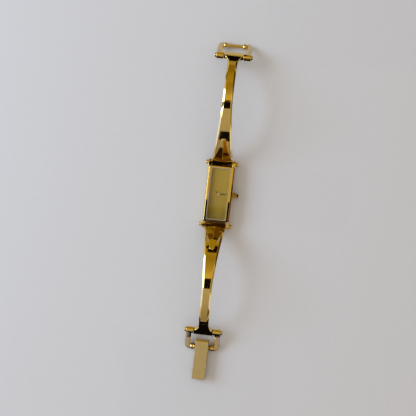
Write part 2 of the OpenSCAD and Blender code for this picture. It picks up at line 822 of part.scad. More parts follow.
module battery_clamp() {
    clamp_t = 0.1;
    clamp_w = 1.4;
    color(steel)
        difference() {
            translate([-movement_w / 2, -battery_y - clamp_w / 2, battery_z0 - clamp_t - seat_play])
                cube([movement_w, clamp_w, plate_z0 - battery_z0 + clamp_t]);
            translate([0, -battery_y, battery_z0 - seat_play])
                cylinder(r = battery_r + side_play, h = battery_t + over, $fn = round_fn);
        }
}

core_z = plate_z0 - board_t - 2 * seat_play - coil_r - inner_play;

module motor_stator() {
    color(steel)
        translate([0, coil_y, core_z]) {
            rod(coil_r / 2, -coil_l / 2 - block_w, coil_l / 2 + block_w, fine_fn);
            for (side = [-1, 1])
                translate([side * (coil_l / 2 + block_w / 2 + inner_play), 0, inner_play])
                    cube([block_w, 1.6 * coil_r, 2 * coil_r], center = true);
        }
}

module motor_coil() {
    color(copper)
        translate([0, coil_y, core_z])
            difference() {
                rod(coil_r, -coil_l / 2, coil_l / 2, fine_fn);
                rod(coil_r / 2 + seat_play, -coil_l, coil_l, fine_fn);
            }
}

module circuit_board() {
    color(green)
        translate([0, board_y, plate_z0 - board_t - seat_play])
            translate([-movement_w / 2 + inner_play, -board_l / 2, 0])
                cube([movement_w - 2 * inner_play, board_l, board_t]);
}

module quartz_can() {
    color(steel)
        translate([0, coil_y + can_step, plate_z0 - board_t - 2 * seat_play - can_r])
            rod(can_r, -can_l / 2, can_l / 2, fine_fn);
}

module crown_tube() {
    color(gold)
        translate([0, 0, stem_z])
            difference() {
                rod(tube_r, cavity_w / 2, case_w / 2 + tube_out);
                rod(stem_neck_r + run_fit, cavity_w / 2 - over, case_w / 2 + 2 * tube_out);
            }
}

// A pin along X with a turned finial outside each lug
module finial_pin() {
    x1 = case_w / 2 + seat_play;
    x2 = x1 + finial_neck_l;
    x3 = x2 + finial_flange_l;
    x4 = x3 + finial_button_l;
    step = 0.12;
    color(gold)
        turned([[0, -x4], [finial_button_r * 0.55, -x4], [finial_button_r, -x4 + 2 * step],
            [finial_button_r, -x3], [finial_r - step, -x3], [finial_r, -x3 + step],
            [finial_r, -x2 - step], [finial_r - step, -x2], [finial_neck_r, -x2],
            [finial_neck_r, -x1], [hinge_pin_r, -x1], [hinge_pin_r, x1], [finial_neck_r, x1],
            [finial_neck_r, x2], [finial_r - step, x2], [finial_r, x2 + step], [finial_r, x3 - step],
            [finial_r - step, x3], [finial_button_r, x3], [finial_button_r, x4 - 2 * step],
            [finial_button_r * 0.55, x4], [0, x4]]);
}

module upper_hinge_pin() {
    at_upper_hinge()
        finial_pin();
}

module lower_hinge_pin() {
    at_lower_hinge()
        finial_pin();
}

// The fork that follows the stem's groove
lever_back = 0.9;
lever_w = 0.7;
lever_l = 2.1;
groove_r = 0.2;
groove_w = 0.22;
fork_w = groove_w - 2 * run_fit;
groove_x = stem_in + lever_back + lever_w / 2;

module setting_lever() {
    fork_y = groove_r + run_fit;
    body_y = stem_neck_r + side_play;
    color(steel)
        translate([0, 0, stem_z - plate_t / 4]) {
            translate([groove_x - fork_w / 2, fork_y, 0])
                cube([fork_w, body_y - fork_y + side_play, plate_t / 2]);
            translate([groove_x - lever_w / 2, body_y, 0])
                cube([lever_w, lever_l - body_y, plate_t / 2]);
        }
}

crown_x0 = case_w / 2 + crown_gap;
crown_x1 = crown_x0 + crown_l;
stem_x1 = crown_x0 + recess_d + (crown_l - recess_d) / 2;

module crown() {
    flute_x1 = crown_x0 + flute_l;
    neck = 0.12;
    color(gold)
        translate([0, 0, stem_z])
            difference() {
                turned([[0, crown_x0], [crown_r - neck, crown_x0], [crown_r, crown_x0 + neck],
                    [crown_r, flute_x1], [crown_r - neck, flute_x1 + neck],
                    for (a = [0 : 15 : 75])
                        [(crown_r - neck) * cos(a), flute_x1 + neck + (crown_l - flute_l - neck) * sin(a)],
                    [0, crown_x1]]);
                rod(recess_r, crown_x0 - over, crown_x0 + recess_d);
                rod(stem_neck_r + fixed_fit, crown_x0, stem_x1 + fixed_fit);
                for (i = [0 : flute_n - 1])
                    rotate([360 * i / flute_n, 0, 0])
                        translate([0, crown_r, 0])
                            rod(flute_r, crown_x0 - over, flute_x1, 16);
            }
}

module crown_stem() {
    color(steel)
        translate([0, 0, stem_z])
            turned([[0, stem_in], [stem_r, stem_in], [stem_r, groove_x - groove_w / 2],
                [groove_r, groove_x - groove_w / 2], [groove_r, groove_x + groove_w / 2],
                [stem_r, groove_x + groove_w / 2], [stem_r, cavity_w / 2 - crown_pull - side_play],
                [stem_neck_r, cavity_w / 2 - crown_pull - side_play], [stem_neck_r, stem_x1],
                [0, stem_x1]]);
}

module sliding_pinion() {
    pinion_l = 0.5;
    pinion_x = stem_in + 0.15;
    color(steel)
        translate([0, 0, stem_z])
            difference() {
                rod(stem_r + hour_pipe_t * 0.7, pinion_x, pinion_x + pinion_l, fine_fn);
                rod(stem_r + fixed_fit, stem_in - over, stem_in + lever_back, fine_fn);
            }
}

module crown_gasket() {
    seal_x = crown_x0 + recess_d - seal_t - 3 * seat_play - (crown_x0 + recess_d - case_w / 2 - tube_out);
    color(black)
        translate([0, 0, stem_z])
            difference() {
                rod(recess_r - seat_play, seal_x, seal_x + seal_t);
                rod(tube_r + run_fit, 0, crown_x1);
            }
}

hour_hand_z = dial_z1 + 0.2;
minute_hand_z = hour_hand_z + 2.5 * hand_t;
hour_pipe_out = hour_pipe_r + hour_pipe_t;

module hand_blade(l) {
    polygon([[-hand_w, -hand_w / 2], [l * 0.6, -hand_w / 2], [l, -hand_tip_w / 2], [l, hand_tip_w / 2],
        [l * 0.6, hand_w / 2], [-hand_w, hand_w / 2]]);
}

module hand(l, hub_r, bore_r, at, z) {
    color(gold)
        rotate([0, 0, at])
            translate([0, 0, z])
                linear_extrude(height = hand_t)
                    difference() {
                        union() {
                            circle(r = hub_r, $fn = fine_fn);
                            hand_blade(l);
                        }
                        circle(r = bore_r, $fn = fine_fn);
                    }
}

module minute_hand() {
    hand(minute_l, cannon_pipe_r + 0.12, cannon_pipe_r + fixed_fit, minute_at, minute_hand_z);
}

module hour_hand() {
    hand(hour_l, hour_pipe_out + 0.1, hour_pipe_out + fixed_fit, hour_at, hour_hand_z);
}

motion_low_z0 = plate_z1 + inner_play;
motion_low_z1 = motion_low_z0 + wheel_t;
motion_high_z0 = motion_low_z1 + inner_play * 1.5;
motion_high_z1 = motion_high_z0 + wheel_t;
centre_arbor_z1 = minute_hand_z;
cannon_top = minute_hand_z + hand_t + seat_play;
hour_top = hour_hand_z + hand_t + seat_play;

module cannon_pinion() {
    color(brass)
        difference() {
            union() {
                gear(cannon_n, -90, arbor_r, motion_low_z0, motion_low_z1);
                translate([0, 0, motion_low_z0])
                    cylinder(r = cannon_pipe_r, h = cannon_top - motion_low_z0, $fn = fine_fn);
            }
            translate([0, 0, motion_low_z0 - over])
                cylinder(r = arbor_r + fixed_fit, h = case_h, $fn = fine_fn);
        }
}

module hour_wheel() {
    color(brass)
        difference() {
            union() {
                gear(hour_wheel_n, -90 + 180 / hour_wheel_n, arbor_r, motion_high_z0, motion_high_z1);
                translate([0, 0, motion_high_z0])
                    cylinder(r = hour_pipe_out, h = hour_top - motion_high_z0, $fn = fine_fn);
            }
            translate([0, 0, motion_high_z0 - over])
                cylinder(r = hour_pipe_r, h = case_h, $fn = fine_fn);
        }
}

module minute_wheel() {
    pinion_low = motion_low_z1 - wheel_t / 3;
    bore = arbor_r + run_fit;
    color(brass)
        translate([0, minute_post_y, 0])
            union() {
                gear(minute_wheel_n, 90 + 180 / minute_wheel_n, bore, motion_low_z0, motion_low_z1);
                gear(minute_pinion_n, 90, bore, pinion_low, motion_high_z1);
            }
}

train_low_z0 = bridge_z1 + inner_play;
train_low_z1 = train_low_z0 + wheel_t;
train_high_z0 = train_low_z1 + inner_play;
train_high_z1 = train_high_z0 + wheel_t;

module centre_wheel() {
    color(brass)
        union() {
            gear(centre_wheel_n, third_at, arbor_r / 2, train_high_z0, train_high_z1);
            translate([0, 0, bridge_z0])
                cylinder(r = arbor_r, h = centre_arbor_z1 - bridge_z0, $fn = fine_fn);
        }
}

module third_wheel() {
    color(brass)
        translate([third_x, third_y, 0])
            union() {
                gear(third_wheel_n, 0, arbor_r / 2, train_low_z0, train_low_z1);
                gear(third_pinion_n, third_at + 180 + 180 / third_pinion_n, arbor_r / 2,
                    train_low_z1 - wheel_t / 3, train_high_z1);
                translate([0, 0, bridge_z0])
                    cylinder(r = arbor_r, h = plate_z0 + plate_t / 3 - bridge_z0, $fn = fine_fn);
            }
}

// The T end: a barrel round the pin and a lip that carries the band's slope on to a rounded edge
module tee() {
    lip_drop = 0.05;
    lip_y = tee_reach - tee_lip_r;
    lip_z = tee_barrel_r - lip_drop - tee_lip_r;
    translate([0, chord, 0])
        rotate([-tip_angle, 0, 0])
            along_x(-tee_half, tee_half)
                union() {
                    circle(r = tee_barrel_r, $fn = round_fn);
                    translate([0, lip_z - tee_lip_r])
                        square([lip_y, 2 * tee_lip_r]);
                    translate([lip_y, lip_z])
                        circle(r = tee_lip_r, $fn = round_fn);
                }
}

// The band with its hinge barrel and its T end
module arm() {
    color(gold)
        difference() {
            union() {
                skin([for (s = arm_stations) arm_ring(s)]);
                rod(hinge_barrel_r, -barrel_w / 2, barrel_w / 2, round_fn);
                tee();
            }
            rod(hinge_pin_r + run_fit, -case_w, case_w);
            translate([0, chord, 0])
                rod(stirrup_pin_r + run_fit, -case_w, case_w);
        }
}

module tongue() {
    lip = tongue_start;
    color(gold)
        skin(concat([tongue_ring(lip, 1)],
            [for (s = tongue_stations) tongue_ring(s, s < tongue_end ? 1 : tongue_half(s) / tongue_tip_r)]));
}

// One side of the stirrup: the eye barrel and the flat strip with its rounded outer corner
module stirrup_side(side) {
    corner_y = stirrup_l + strip_end - strip_r;
    strip_x = side > 0 ? strip_in : -stirrup_w / 2;
    rod(eye_r, side > 0 ? stirrup_in : -stirrup_w / 2, side > 0 ? stirrup_w / 2 : -stirrup_in, round_fn);
    translate([0, 0, -strip_t / 2])
        linear_extrude(height = strip_t)
            union() {
                translate([strip_x, 0])
                    square([strip_w, corner_y]);
                intersection() {
                    translate([side * strip_in, corner_y])
                        circle(r = strip_r, $fn = round_fn);
                    translate([strip_x, corner_y - over])
                        square([strip_w, strip_r + 2 * over]);
                }
            }
}

// The bar with its rounded shoulders, turned as one piece whose ends lie inside the side strips
module stirrup_bar() {
    bar_reach = strip_in + over;
    rotate([0, 90, 0])
        rotate_extrude($fn = round_fn)
            intersection() {
                union() {
                    translate([0, -bar_reach])
                        square([bar_r, 2 * bar_reach]);
                    for (side = [-1, 1])
                        translate([0, side * bead_x])
                            circle(r = bead_r, $fn = round_fn);
                }
                translate([0, -bar_reach])
                    square([2 * bead_r, 2 * bar_reach]);
            }
}

// The stirrup: two sides joined by the bar
module stirrup() {
    color(gold)
        difference() {
            union() {
                for (side = [-1, 1])
                    stirrup_side(side);
                translate([0, stirrup_l, 0])
                    stirrup_bar();
            }
            rod(stirrup_pin_r + fixed_fit, -stirrup_w, stirrup_w);
        }
}

module stirrup_pin() {
    x1 = stirrup_w / 2 + seat_play;
    x2 = x1 + pin_head_l;
    edge = 0.2;
    color(gold)
        turned([[0, -x2], [pin_head_r - edge, -x2], [pin_head_r, -x2 + edge], [pin_head_r, -x1],
            [stirrup_pin_r, -x1], [stirrup_pin_r, x1], [pin_head_r, x1], [pin_head_r, x2 - edge],
            [pin_head_r - edge, x2], [0, x2]]);
}

module upper_arm() {
    at_upper_arm()
        arm();
}

module upper_tongue() {
    at_upper_arm()
        tongue();
}

module upper_stirrup() {
    at_upper_eye()
        stirrup();
}

module upper_stirrup_pin() {
    at_upper_eye()
        stirrup_pin();
}

module lower_arm() {
    at_lower_arm()
        arm();
}

module lower_tongue() {
    at_lower_arm()
        tongue();
}

module lower_stirrup() {
    at_lower_eye()
        stirrup();
}

module lower_stirrup_pin() {
    at_lower_eye()
        stirrup_pin();
}

// The base: a plate with an eye round the lower bar, a hook for the upper bar and the cover's knuckle
module clasp_base() {
    eye_out = bar_bore + hook_t;
    knuckle_r = cap_r - cover_t - side_play;
    knuckle_w = clasp_half / 2;
    web_back = 0.1;
    web_l = 0.7;
    plate_end = bar_pitch + eye_out;
    color(gold)
        at_clasp()
            difference() {
                union() {
                    translate([-clasp_half, web_back - cover_pin_back, -base_down])
                        cube([2 * clasp_half, plate_end + cover_pin_back - web_back, base_t]);
                    rod(eye_out, -clasp_half, clasp_half);
                    translate([0, bar_pitch, 0])
                        rod(eye_out, -clasp_half, clasp_half);
                    translate([0, -cover_pin_back, cover_pin_up])
                        rod(knuckle_r, -knuckle_w, knuckle_w);
                    translate([-knuckle_w, web_back - cover_pin_back, -base_down])
                        cube([2 * knuckle_w, web_l, base_down + cover_pin_up]);
                }
                rod(bar_bore, -cover_w, cover_w);
                translate([0, bar_pitch, 0]) {
                    rod(bar_bore + side_play, -cover_w, cover_w);
                    along_x(-cover_w, cover_w)
                        polygon([[0, 0],
                            for (k = [0 : 4])
                                let (a = 70 + hook_gap * (k / 4 - 0.4))
                                    3 * eye_out * [cos(a), sin(a)]]);
                }
                translate([0, -cover_pin_back, cover_pin_up])
                    rod(cover_pin_r + fixed_fit, -cover_w, cover_w);
            }
}

module clasp_pin() {
    color(gold)
        at_clasp()
            translate([0, -cover_pin_back, cover_pin_up])
                rod(cover_pin_r, -cover_w / 2, cover_w / 2);
}

// The cover's outline from the side
module cover_side() {
    translate([-cover_pin_back, cover_pin_up])
        circle(r = cap_r, $fn = round_fn);
    translate([-cover_pin_back, -wall_down])
        square([clasp_l + cover_pin_back, cover_top + wall_down]);
}

// The cover: a box open below, with slots that clear both bars. Its top rolls over the pin and ends at the
// pin's height, so that it clears the base when the cover opens.
module clasp_cover() {
    slot_half = bar_r + 2 * notch_play;
    inner_top = cover_top - cover_t;
    color(gold)
        at_clasp()
            difference() {
                along_x(-cover_w / 2, cover_w / 2)
                    difference() {
                        cover_side();
                        intersection() {
                            translate([-cover_pin_back, cover_pin_up])
                                difference() {
                                    circle(r = notch_out, $fn = round_fn);
                                    circle(r = notch_in, $fn = round_fn);
                                }
                            translate([-cover_pin_back - notch_out, cover_pin_up - 2 * notch_out])
                                square([2 * notch_out, 2 * notch_out]);
                        }
                        translate([bar_pitch - slot_half, -wall_down - over])
                            square([2 * slot_half, wall_down + over + slot_half]);
                    }
                along_x(-cover_in, cover_in)
                    difference() {
                        union() {
                            translate([-cover_pin_back, cover_pin_up])
                                circle(r = cap_r - cover_t, $fn = round_fn);
                            translate([-cover_pin_back, -2 * wall_down])
                                square([clasp_l + cover_pin_back - cover_t, inner_top + 2 * wall_down]);
                            translate([-cover_pin_back - cap_r - over, cover_pin_up - 2 * cap_r])
                                square([cap_r + over, 2 * cap_r]);
                        }
                        translate([clasp_l, 0])
                            square([over, over]);
                    }
                translate([0, -cover_pin_back, cover_pin_up])
                    rod(cover_pin_r + run_fit, -cover_w, cover_w);
            }
}

case_middle();
case_back();
case_back_gasket();
crystal();
crystal_gasket();
dial();
movement_ring();
main_plate();
train_bridge();
bridge_screws();
battery();
battery_clamp();
motor_stator();
motor_coil();
circuit_board();
quartz_can();
crown_tube();
upper_hinge_pin();
lower_hinge_pin();
setting_lever();
crown();
crown_stem();
sliding_pinion();
crown_gasket();
minute_hand();
cannon_pinion();
centre_wheel();
hour_hand();
hour_wheel();
minute_wheel();
third_wheel();
upper_arm();
upper_tongue();
upper_stirrup();
upper_stirrup_pin();
lower_arm();
lower_tongue();
lower_stirrup();
lower_stirrup_pin();
clasp_base();
clasp_pin();
clasp_cover();
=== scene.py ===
"""A slim bangle watch: rectangular case, two hinged rigid arms, stirrup ends and a fold-over clasp.

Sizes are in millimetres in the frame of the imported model: the case back lies on z = 0, +X is the crown side
and +Y the upper arm's side. Meshes are written in metres, with each piece's place in its mesh.
"""

import json
import logging
import math
from dataclasses import dataclass, field, replace
from enum import Enum
from functools import cache, partial

import bpy
import numpy as np
from mathutils import Matrix, Vector

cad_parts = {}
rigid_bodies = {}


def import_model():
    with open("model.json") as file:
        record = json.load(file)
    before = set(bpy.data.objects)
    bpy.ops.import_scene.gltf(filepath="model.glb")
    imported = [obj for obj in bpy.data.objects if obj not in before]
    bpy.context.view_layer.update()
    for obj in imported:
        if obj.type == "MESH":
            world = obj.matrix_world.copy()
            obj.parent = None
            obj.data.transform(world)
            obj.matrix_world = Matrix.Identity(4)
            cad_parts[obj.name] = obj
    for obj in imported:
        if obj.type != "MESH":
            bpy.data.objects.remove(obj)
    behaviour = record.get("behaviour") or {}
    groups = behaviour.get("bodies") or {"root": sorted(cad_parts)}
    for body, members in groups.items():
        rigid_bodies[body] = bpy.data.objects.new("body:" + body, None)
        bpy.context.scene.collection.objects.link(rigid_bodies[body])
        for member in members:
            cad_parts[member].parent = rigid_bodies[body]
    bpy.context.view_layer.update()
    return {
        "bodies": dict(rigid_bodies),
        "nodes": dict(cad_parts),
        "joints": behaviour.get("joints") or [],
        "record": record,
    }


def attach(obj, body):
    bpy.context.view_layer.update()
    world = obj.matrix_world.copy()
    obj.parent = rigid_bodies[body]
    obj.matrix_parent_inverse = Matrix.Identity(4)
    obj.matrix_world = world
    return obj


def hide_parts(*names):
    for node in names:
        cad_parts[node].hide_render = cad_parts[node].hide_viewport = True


MM = 0.001
log = logging.getLogger("watch")

Point = tuple[float, float, float]
Colour = tuple[float, float, float]
Span = tuple[float, float]


# Surfaces as grids of points

LEAST_LENGTH = 1e-9
EDGE_SHARE = 0.45
EASE_SPAN = 1.6
FINE_STEPS = 5
TUBE_STEPS = 56
CREASE = 34
QUARTER = np.pi / 2


@dataclass
class Shell:
    """A closed surface: its points in millimetres, its four-sided faces and its end caps.

    Args:
        points: one row of x, y, z for each point.
        quads: four point numbers for each face.
        caps: the point numbers of each end cap.
        finish: which of the piece's finishes its four-sided faces take.
        cap_finish: which one its end caps take.
    """

    points: np.ndarray
    quads: np.ndarray
    caps: list[np.ndarray] = field(default_factory=list)
    finish: int = 0
    cap_finish: int = 0

    def volume(self) -> float:
        """A sixth of the sum of a . (b x c) over the triangles of all faces.

        Returns:
            The enclosed volume, below 0 where the faces point inwards.
        """
        p, q = self.points, self.quads
        fans = [np.stack([c[:-2] * 0 + c[0], c[1:-1], c[2:]], axis=1) for c in self.caps]
        tris = np.concatenate([q[:, [0, 1, 2]], q[:, [0, 2, 3]], *fans])
        a, b, c = p[tris[:, 0]], p[tris[:, 1]], p[tris[:, 2]]
        return float(np.einsum("ij,ij->", a, np.cross(b, c)) / 6)

    def outward(self) -> "Shell":
        """The same surface with its faces pointing outwards, which its volume's sign tells."""
        if self.volume() >= 0:
            return self
        return replace(self, quads=self.quads[:, ::-1], caps=[c[::-1] for c in self.caps])


def grid_shell(grid: np.ndarray, wrap_rows: bool = False, finish: int = 0) -> Shell:
    """Joins a grid of points with four-sided faces: point (i, j) with (i, j+1), (i+1, j+1) and (i+1, j).

    Args:
        grid: points as rows, columns and x, y, z. The last column joins the first.
        wrap_rows: the last row joins the first, as in a ring. Otherwise both end rows get a cap.
        finish: which of the piece's finishes the surface takes.

    Returns:
        The closed shell.
    """
    rows, columns = grid.shape[:2]
    i = np.arange(rows if wrap_rows else rows - 1)[:, None]
    j = np.arange(columns)[None, :]
    i_next, j_next = (i + 1) % rows, (j + 1) % columns
    corners = (i * columns + j, i * columns + j_next, i_next * columns + j_next, i_next * columns + j)
    quads = np.stack(np.broadcast_arrays(*corners), axis=-1).reshape(-1, 4)
    first = np.arange(columns)
    caps = [] if wrap_rows else [first[::-1], first + (rows - 1) * columns]
    return Shell(grid.reshape(-1, 3).astype(float), quads, caps, finish).outward()


def softened(
    points: np.ndarray, reach: tuple[float, ...], steps: int = 4, closed: bool = True
) -> np.ndarray:
    """Rounds the corners of a line of points.

    Each corner c becomes the curve (1-t)^2 a + 2t(1-t) c + t^2 b, where a and b lie on its two edges at the
    distance reach from c, or at the edge share of the shorter edge if that is less.

    Args:
        points: the corners, in the last but one axis, with any number of coordinates.
        reach: the distance for each corner.
        steps: points on each curve.
        closed: the last corner joins the first. Otherwise both end corners stay as they are.

    Returns:
        The rounded line, with steps points for each corner.
    """
    back = np.roll(points, 1, axis=-2) - points
    ahead = np.roll(points, -1, axis=-2) - points
    back_l = np.maximum(np.linalg.norm(back, axis=-1), LEAST_LENGTH)
    ahead_l = np.maximum(np.linalg.norm(ahead, axis=-1), LEAST_LENGTH)
    cut = np.minimum(np.broadcast_to(reach, back_l.shape), EDGE_SHARE * np.minimum(back_l, ahead_l))
    a = (points + back * (cut / back_l)[..., None])[..., None, :]
    b = (points + ahead * (cut / ahead_l)[..., None])[..., None, :]
    c, t = points[..., None, :], np.linspace(0, 1, steps)[:, None]
    curve = (1 - t) ** 2 * a + 2 * t * (1 - t) * c + t**2 * b
    line = curve.reshape(*points.shape[:-2], -1, points.shape[-1])
    if closed:
        return line
    inner = line[..., steps:-steps, :]
    return np.concatenate([points[..., :1, :], inner, points[..., -1:, :]], axis=-2)


def arc(start: float, end: float, steps: int) -> np.ndarray:
    """Cosine and sine of each of so many angles from start to end, in radians."""
    turn = np.linspace(start, end, steps)
    return np.stack([np.cos(turn), np.sin(turn)], axis=1)


def swung(a: np.ndarray, b: np.ndarray, degrees: float) -> tuple[np.ndarray, np.ndarray]:
    """Turns a plane's coordinates by an angle t to a cos t - b sin t and a sin t + b cos t."""
    c, s = math.cos(math.radians(degrees)), math.sin(math.radians(degrees))
    return a * c - b * s, a * s + b * c


def circle_rise(radius: float, reach: np.ndarray) -> np.ndarray:
    """Height of a circle at a distance from its centre, the root of r^2 - d^2, and 0 outside it."""
    return np.sqrt(np.clip(radius**2 - reach**2, 0, None))


def share(s: np.ndarray, start: float, length: float) -> np.ndarray:
    """How far each s lies past the start, as a share of the length, from 0 to 1."""
    return np.clip((s - start) / length, 0, 1)


def drawn_in(half: Span, radius: float, rows: list[Span]) -> np.ndarray:
    """Rings of one rectangle, in rounded_rectangles' terms, for each draw-in and height."""
    return np.array([[half[0] - draw, half[1] - draw, radius, height] for draw, height in rows])


def rounded_rectangles(rings: np.ndarray, corner_steps: int = 7) -> np.ndarray:
    """Level rounded rectangles: four quarter circles of each ring's radius round its four corner centres.

    Args:
        rings: half width, half length, corner radius and height of each ring.
        corner_steps: points on each corner.

    Returns:
        A grid with one row for each ring.
    """
    half_w, half_l, radius, height = (rings[:, k, None] for k in range(4))
    turn = np.linspace(0, QUARTER, corner_steps)
    angle = (np.arange(4)[:, None] * QUARTER + turn).ravel()
    side_x = np.repeat([1, -1, -1, 1], corner_steps)
    side_y = np.repeat([1, 1, -1, -1], corner_steps)
    x = side_x * (half_w - radius) + radius * np.cos(angle)
    y = side_y * (half_l - radius) + radius * np.sin(angle)
    return np.stack([x, y, np.broadcast_to(height, x.shape)], axis=-1)


def turned(profile: np.ndarray, steps: int = 40) -> np.ndarray:
    """A surface of revolution round the x axis: (x, r cos a, r sin a) for each profile point and angle.

    Args:
        profile: radius and x of each point.
        steps: points round the axis.

    Returns:
        A grid with one row for each profile point.
    """
    angle = np.linspace(0, 2 * np.pi, steps, endpoint=False)
    radius, x = profile[:, 0, None], profile[:, 1, None]
    return np.stack(np.broadcast_arrays(x, radius * np.cos(angle), radius * np.sin(angle)), axis=-1)


def turned_pin(half: list[list[float]], reach: tuple[float, ...]) -> Shell:
    """A turned pin: half a profile, from the middle to one end, softened and mirrored to the other end.

    Args:
        half: radius and x of each corner.
        reach: reach of the rounding at each corner.

    Returns:
        The pin along the x axis.
    """
    line = softened(np.array(half), reach, FINE_STEPS, closed=False)
    return grid_shell(turned(np.concatenate([(line * [1, -1])[::-1], line])))


def inset(outline: np.ndarray, distance: np.ndarray) -> np.ndarray:
    """Moves a closed outline inwards by each distance.

    A corner moves along the sum of its two edges' normals, divided by one plus their product, which keeps
    every edge at the distance.

    Args:
        outline: two coordinates of each corner, counter-clockwise.
        distance: one value for each copy of the outline.

    Returns:
        The moved outlines, one row for each distance.
    """
    edge = np.roll(outline, -1, axis=0) - outline
    edge /= np.linalg.norm(edge, axis=1, keepdims=True)
    after = np.stack([-edge[:, 1], edge[:, 0]], axis=1)
    before = np.roll(after, 1, axis=0)
    slant = 1 + np.sum(before * after, axis=1, keepdims=True)
    return outline + distance[:, None, None] * (before + after) / slant


def eased_side(levels: list[float], ease: float, inner_ease: float = 0.0) -> np.ndarray:
    """The side of a flat part: straight up through its levels, and rounded in at both faces.

    Args:
        levels: heights from the lower face to the upper one.
        ease: reach of the rounding on both faces' edges.
        inner_ease: reach of the rounding at the levels between them.

    Returns:
        Draw-in and height of each point of the side.
    """
    lip = EASE_SPAN * ease
    side = [[lip, levels[0]], *([0, level] for level in levels), [lip, levels[-1]]]
    reach = (ease, ease, *[inner_ease] * (len(levels) - 2), ease, ease)
    return softened(np.array(side), reach, closed=False)


def raised(outline: np.ndarray, side: np.ndarray) -> np.ndarray:
    """A grid of copies of a closed outline, each drawn in and lifted by its row of the side."""
    moved = inset(outline, side[:, 0])
    return np.concatenate([moved, np.broadcast_to(side[:, 1, None, None], (*moved.shape[:2], 1))], axis=-1)


def plate(outline: np.ndarray, low: float, high: float, ease: float) -> Shell:
    """A flat plate from the height low to the height high, with both faces' edges eased."""
    return grid_shell(raised(outline, eased_side([low, high], ease)))


@dataclass(frozen=True)
class Place:
    """Where a sub-assembly stands: its origin in the frame, its slope and which arm's side it lies on.

    Args:
        y: distance of the origin from the case's centre.
        z: height of the origin.
        slope: rise of the local outward axis above the table, in degrees.
        side: 1 for the upper arm's side and -1 for the lower arm's.
    """

    y: float
    z: float
    slope: float
    side: int

    def put(self, points: np.ndarray) -> np.ndarray:
        """Turns local x, outward and up coordinates by the slope and moves them to the origin.

        Args:
            points: local coordinates in the last axis.

        Returns:
            The same points in the frame.
        """
        out, up = swung(points[..., 1], points[..., 2], self.slope)
        return np.stack([points[..., 0], self.side * (self.y + out), self.z + up], axis=-1)

    def shell(self, shell: Shell) -> Shell:
        """The shell put in its place, with its faces outwards."""
        return replace(shell, points=self.put(shell.points)).outward()


# Finishes

BROAD = 1 / (2.6 * MM)
BRUSH_STRETCH = 30
WIPE_STRETCH = 3
NOISE_LOW, NOISE_HIGH = 0.3, 0.7
FINE_DETAIL, BROAD_DETAIL, WIPE_DETAIL = 3.0, 2.0, 4.0

NodeTree = bpy.types.NodeTree
Socket = bpy.types.NodeSocket


def feed(tree: NodeTree, node: bpy.types.Node, inputs: dict) -> None:
    """Sets a node's inputs.

    Args:
        tree: the material's node tree.
        node: the node.
        inputs: for each input's name or number, its value or the socket that is linked to it.
    """
    for name, value in inputs.items():
        if isinstance(value, Socket):
            tree.links.new(value, node.inputs[name])
        else:
            node.inputs[name].default_value = value


def wired(tree: NodeTree, kind: str, output: str, inputs: dict | None = None) -> Socket:
    """A new node's output.

    Args:
        tree: the material's node tree.
        kind: the shader node's kind.
        output: the output's name.
        inputs: as feed takes them.

    Returns:
        The output's socket.
    """
    node = tree.nodes.new(f"ShaderNode{kind}")
    feed(tree, node, inputs or {})
    return node.outputs[output]


def node_material(name: str) -> tuple[bpy.types.Material, NodeTree, bpy.types.Node]:
    """A new node material.

    Args:
        name: the material's name.

    Returns:
        The material, its node tree and its shader.
    """
    made = bpy.data.materials.new(name)
    made.use_nodes = True
    return made, made.node_tree, made.node_tree.nodes["Principled BSDF"]


def noise(tree: NodeTree, scale: tuple[float, float, float], detail: float) -> Socket:
    """Noise read at the object's coordinates times the scale.

    Args:
        tree: the material's node tree.
        scale: factor for each axis.
        detail: octaves of the noise.

    Returns:
        The noise's factor socket.
    """
    place = wired(tree, "TexCoord", "Object")
    place = wired(tree, "Mapping", "Vector", {"Vector": place, "Scale": scale})
    return wired(tree, "TexNoise", "Fac", {"Vector": place, "Scale": 1.0, "Detail": detail})


def mapped(tree: NodeTree, value: Socket, low: float, high: float) -> Socket:
    """Stretches the middle of a noise to the values from low to high."""
    ends = {"From Min": NOISE_LOW, "From Max": NOISE_HIGH, "To Min": low, "To Max": high}
    return wired(tree, "MapRange", "Result", {**ends, "Value": value})


def blended(tree: NodeTree, value: Socket, low: Colour, high: Colour) -> Socket:
    """A colour between two, by a noise.

    Args:
        tree: the material's node tree.
        value: the noise's socket.
        low: colour where the noise is low.
        high: colour where the noise is high.

    Returns:
        The colour's socket.
    """
    colour = wired(tree, "ValToRGB", "Color", {"Fac": value})
    for element, place, tone in zip(colour.node.color_ramp.elements, (NOISE_LOW, NOISE_HIGH), (low, high)):
        element.position = place
        element.color = (*tone, 1)
    return colour


class Grain(Enum):
    """How a surface was finished."""

    POLISHED = "polished"
    BRUSHED = "brushed"
    SATIN = "satin"
    MOULDED = "moulded"


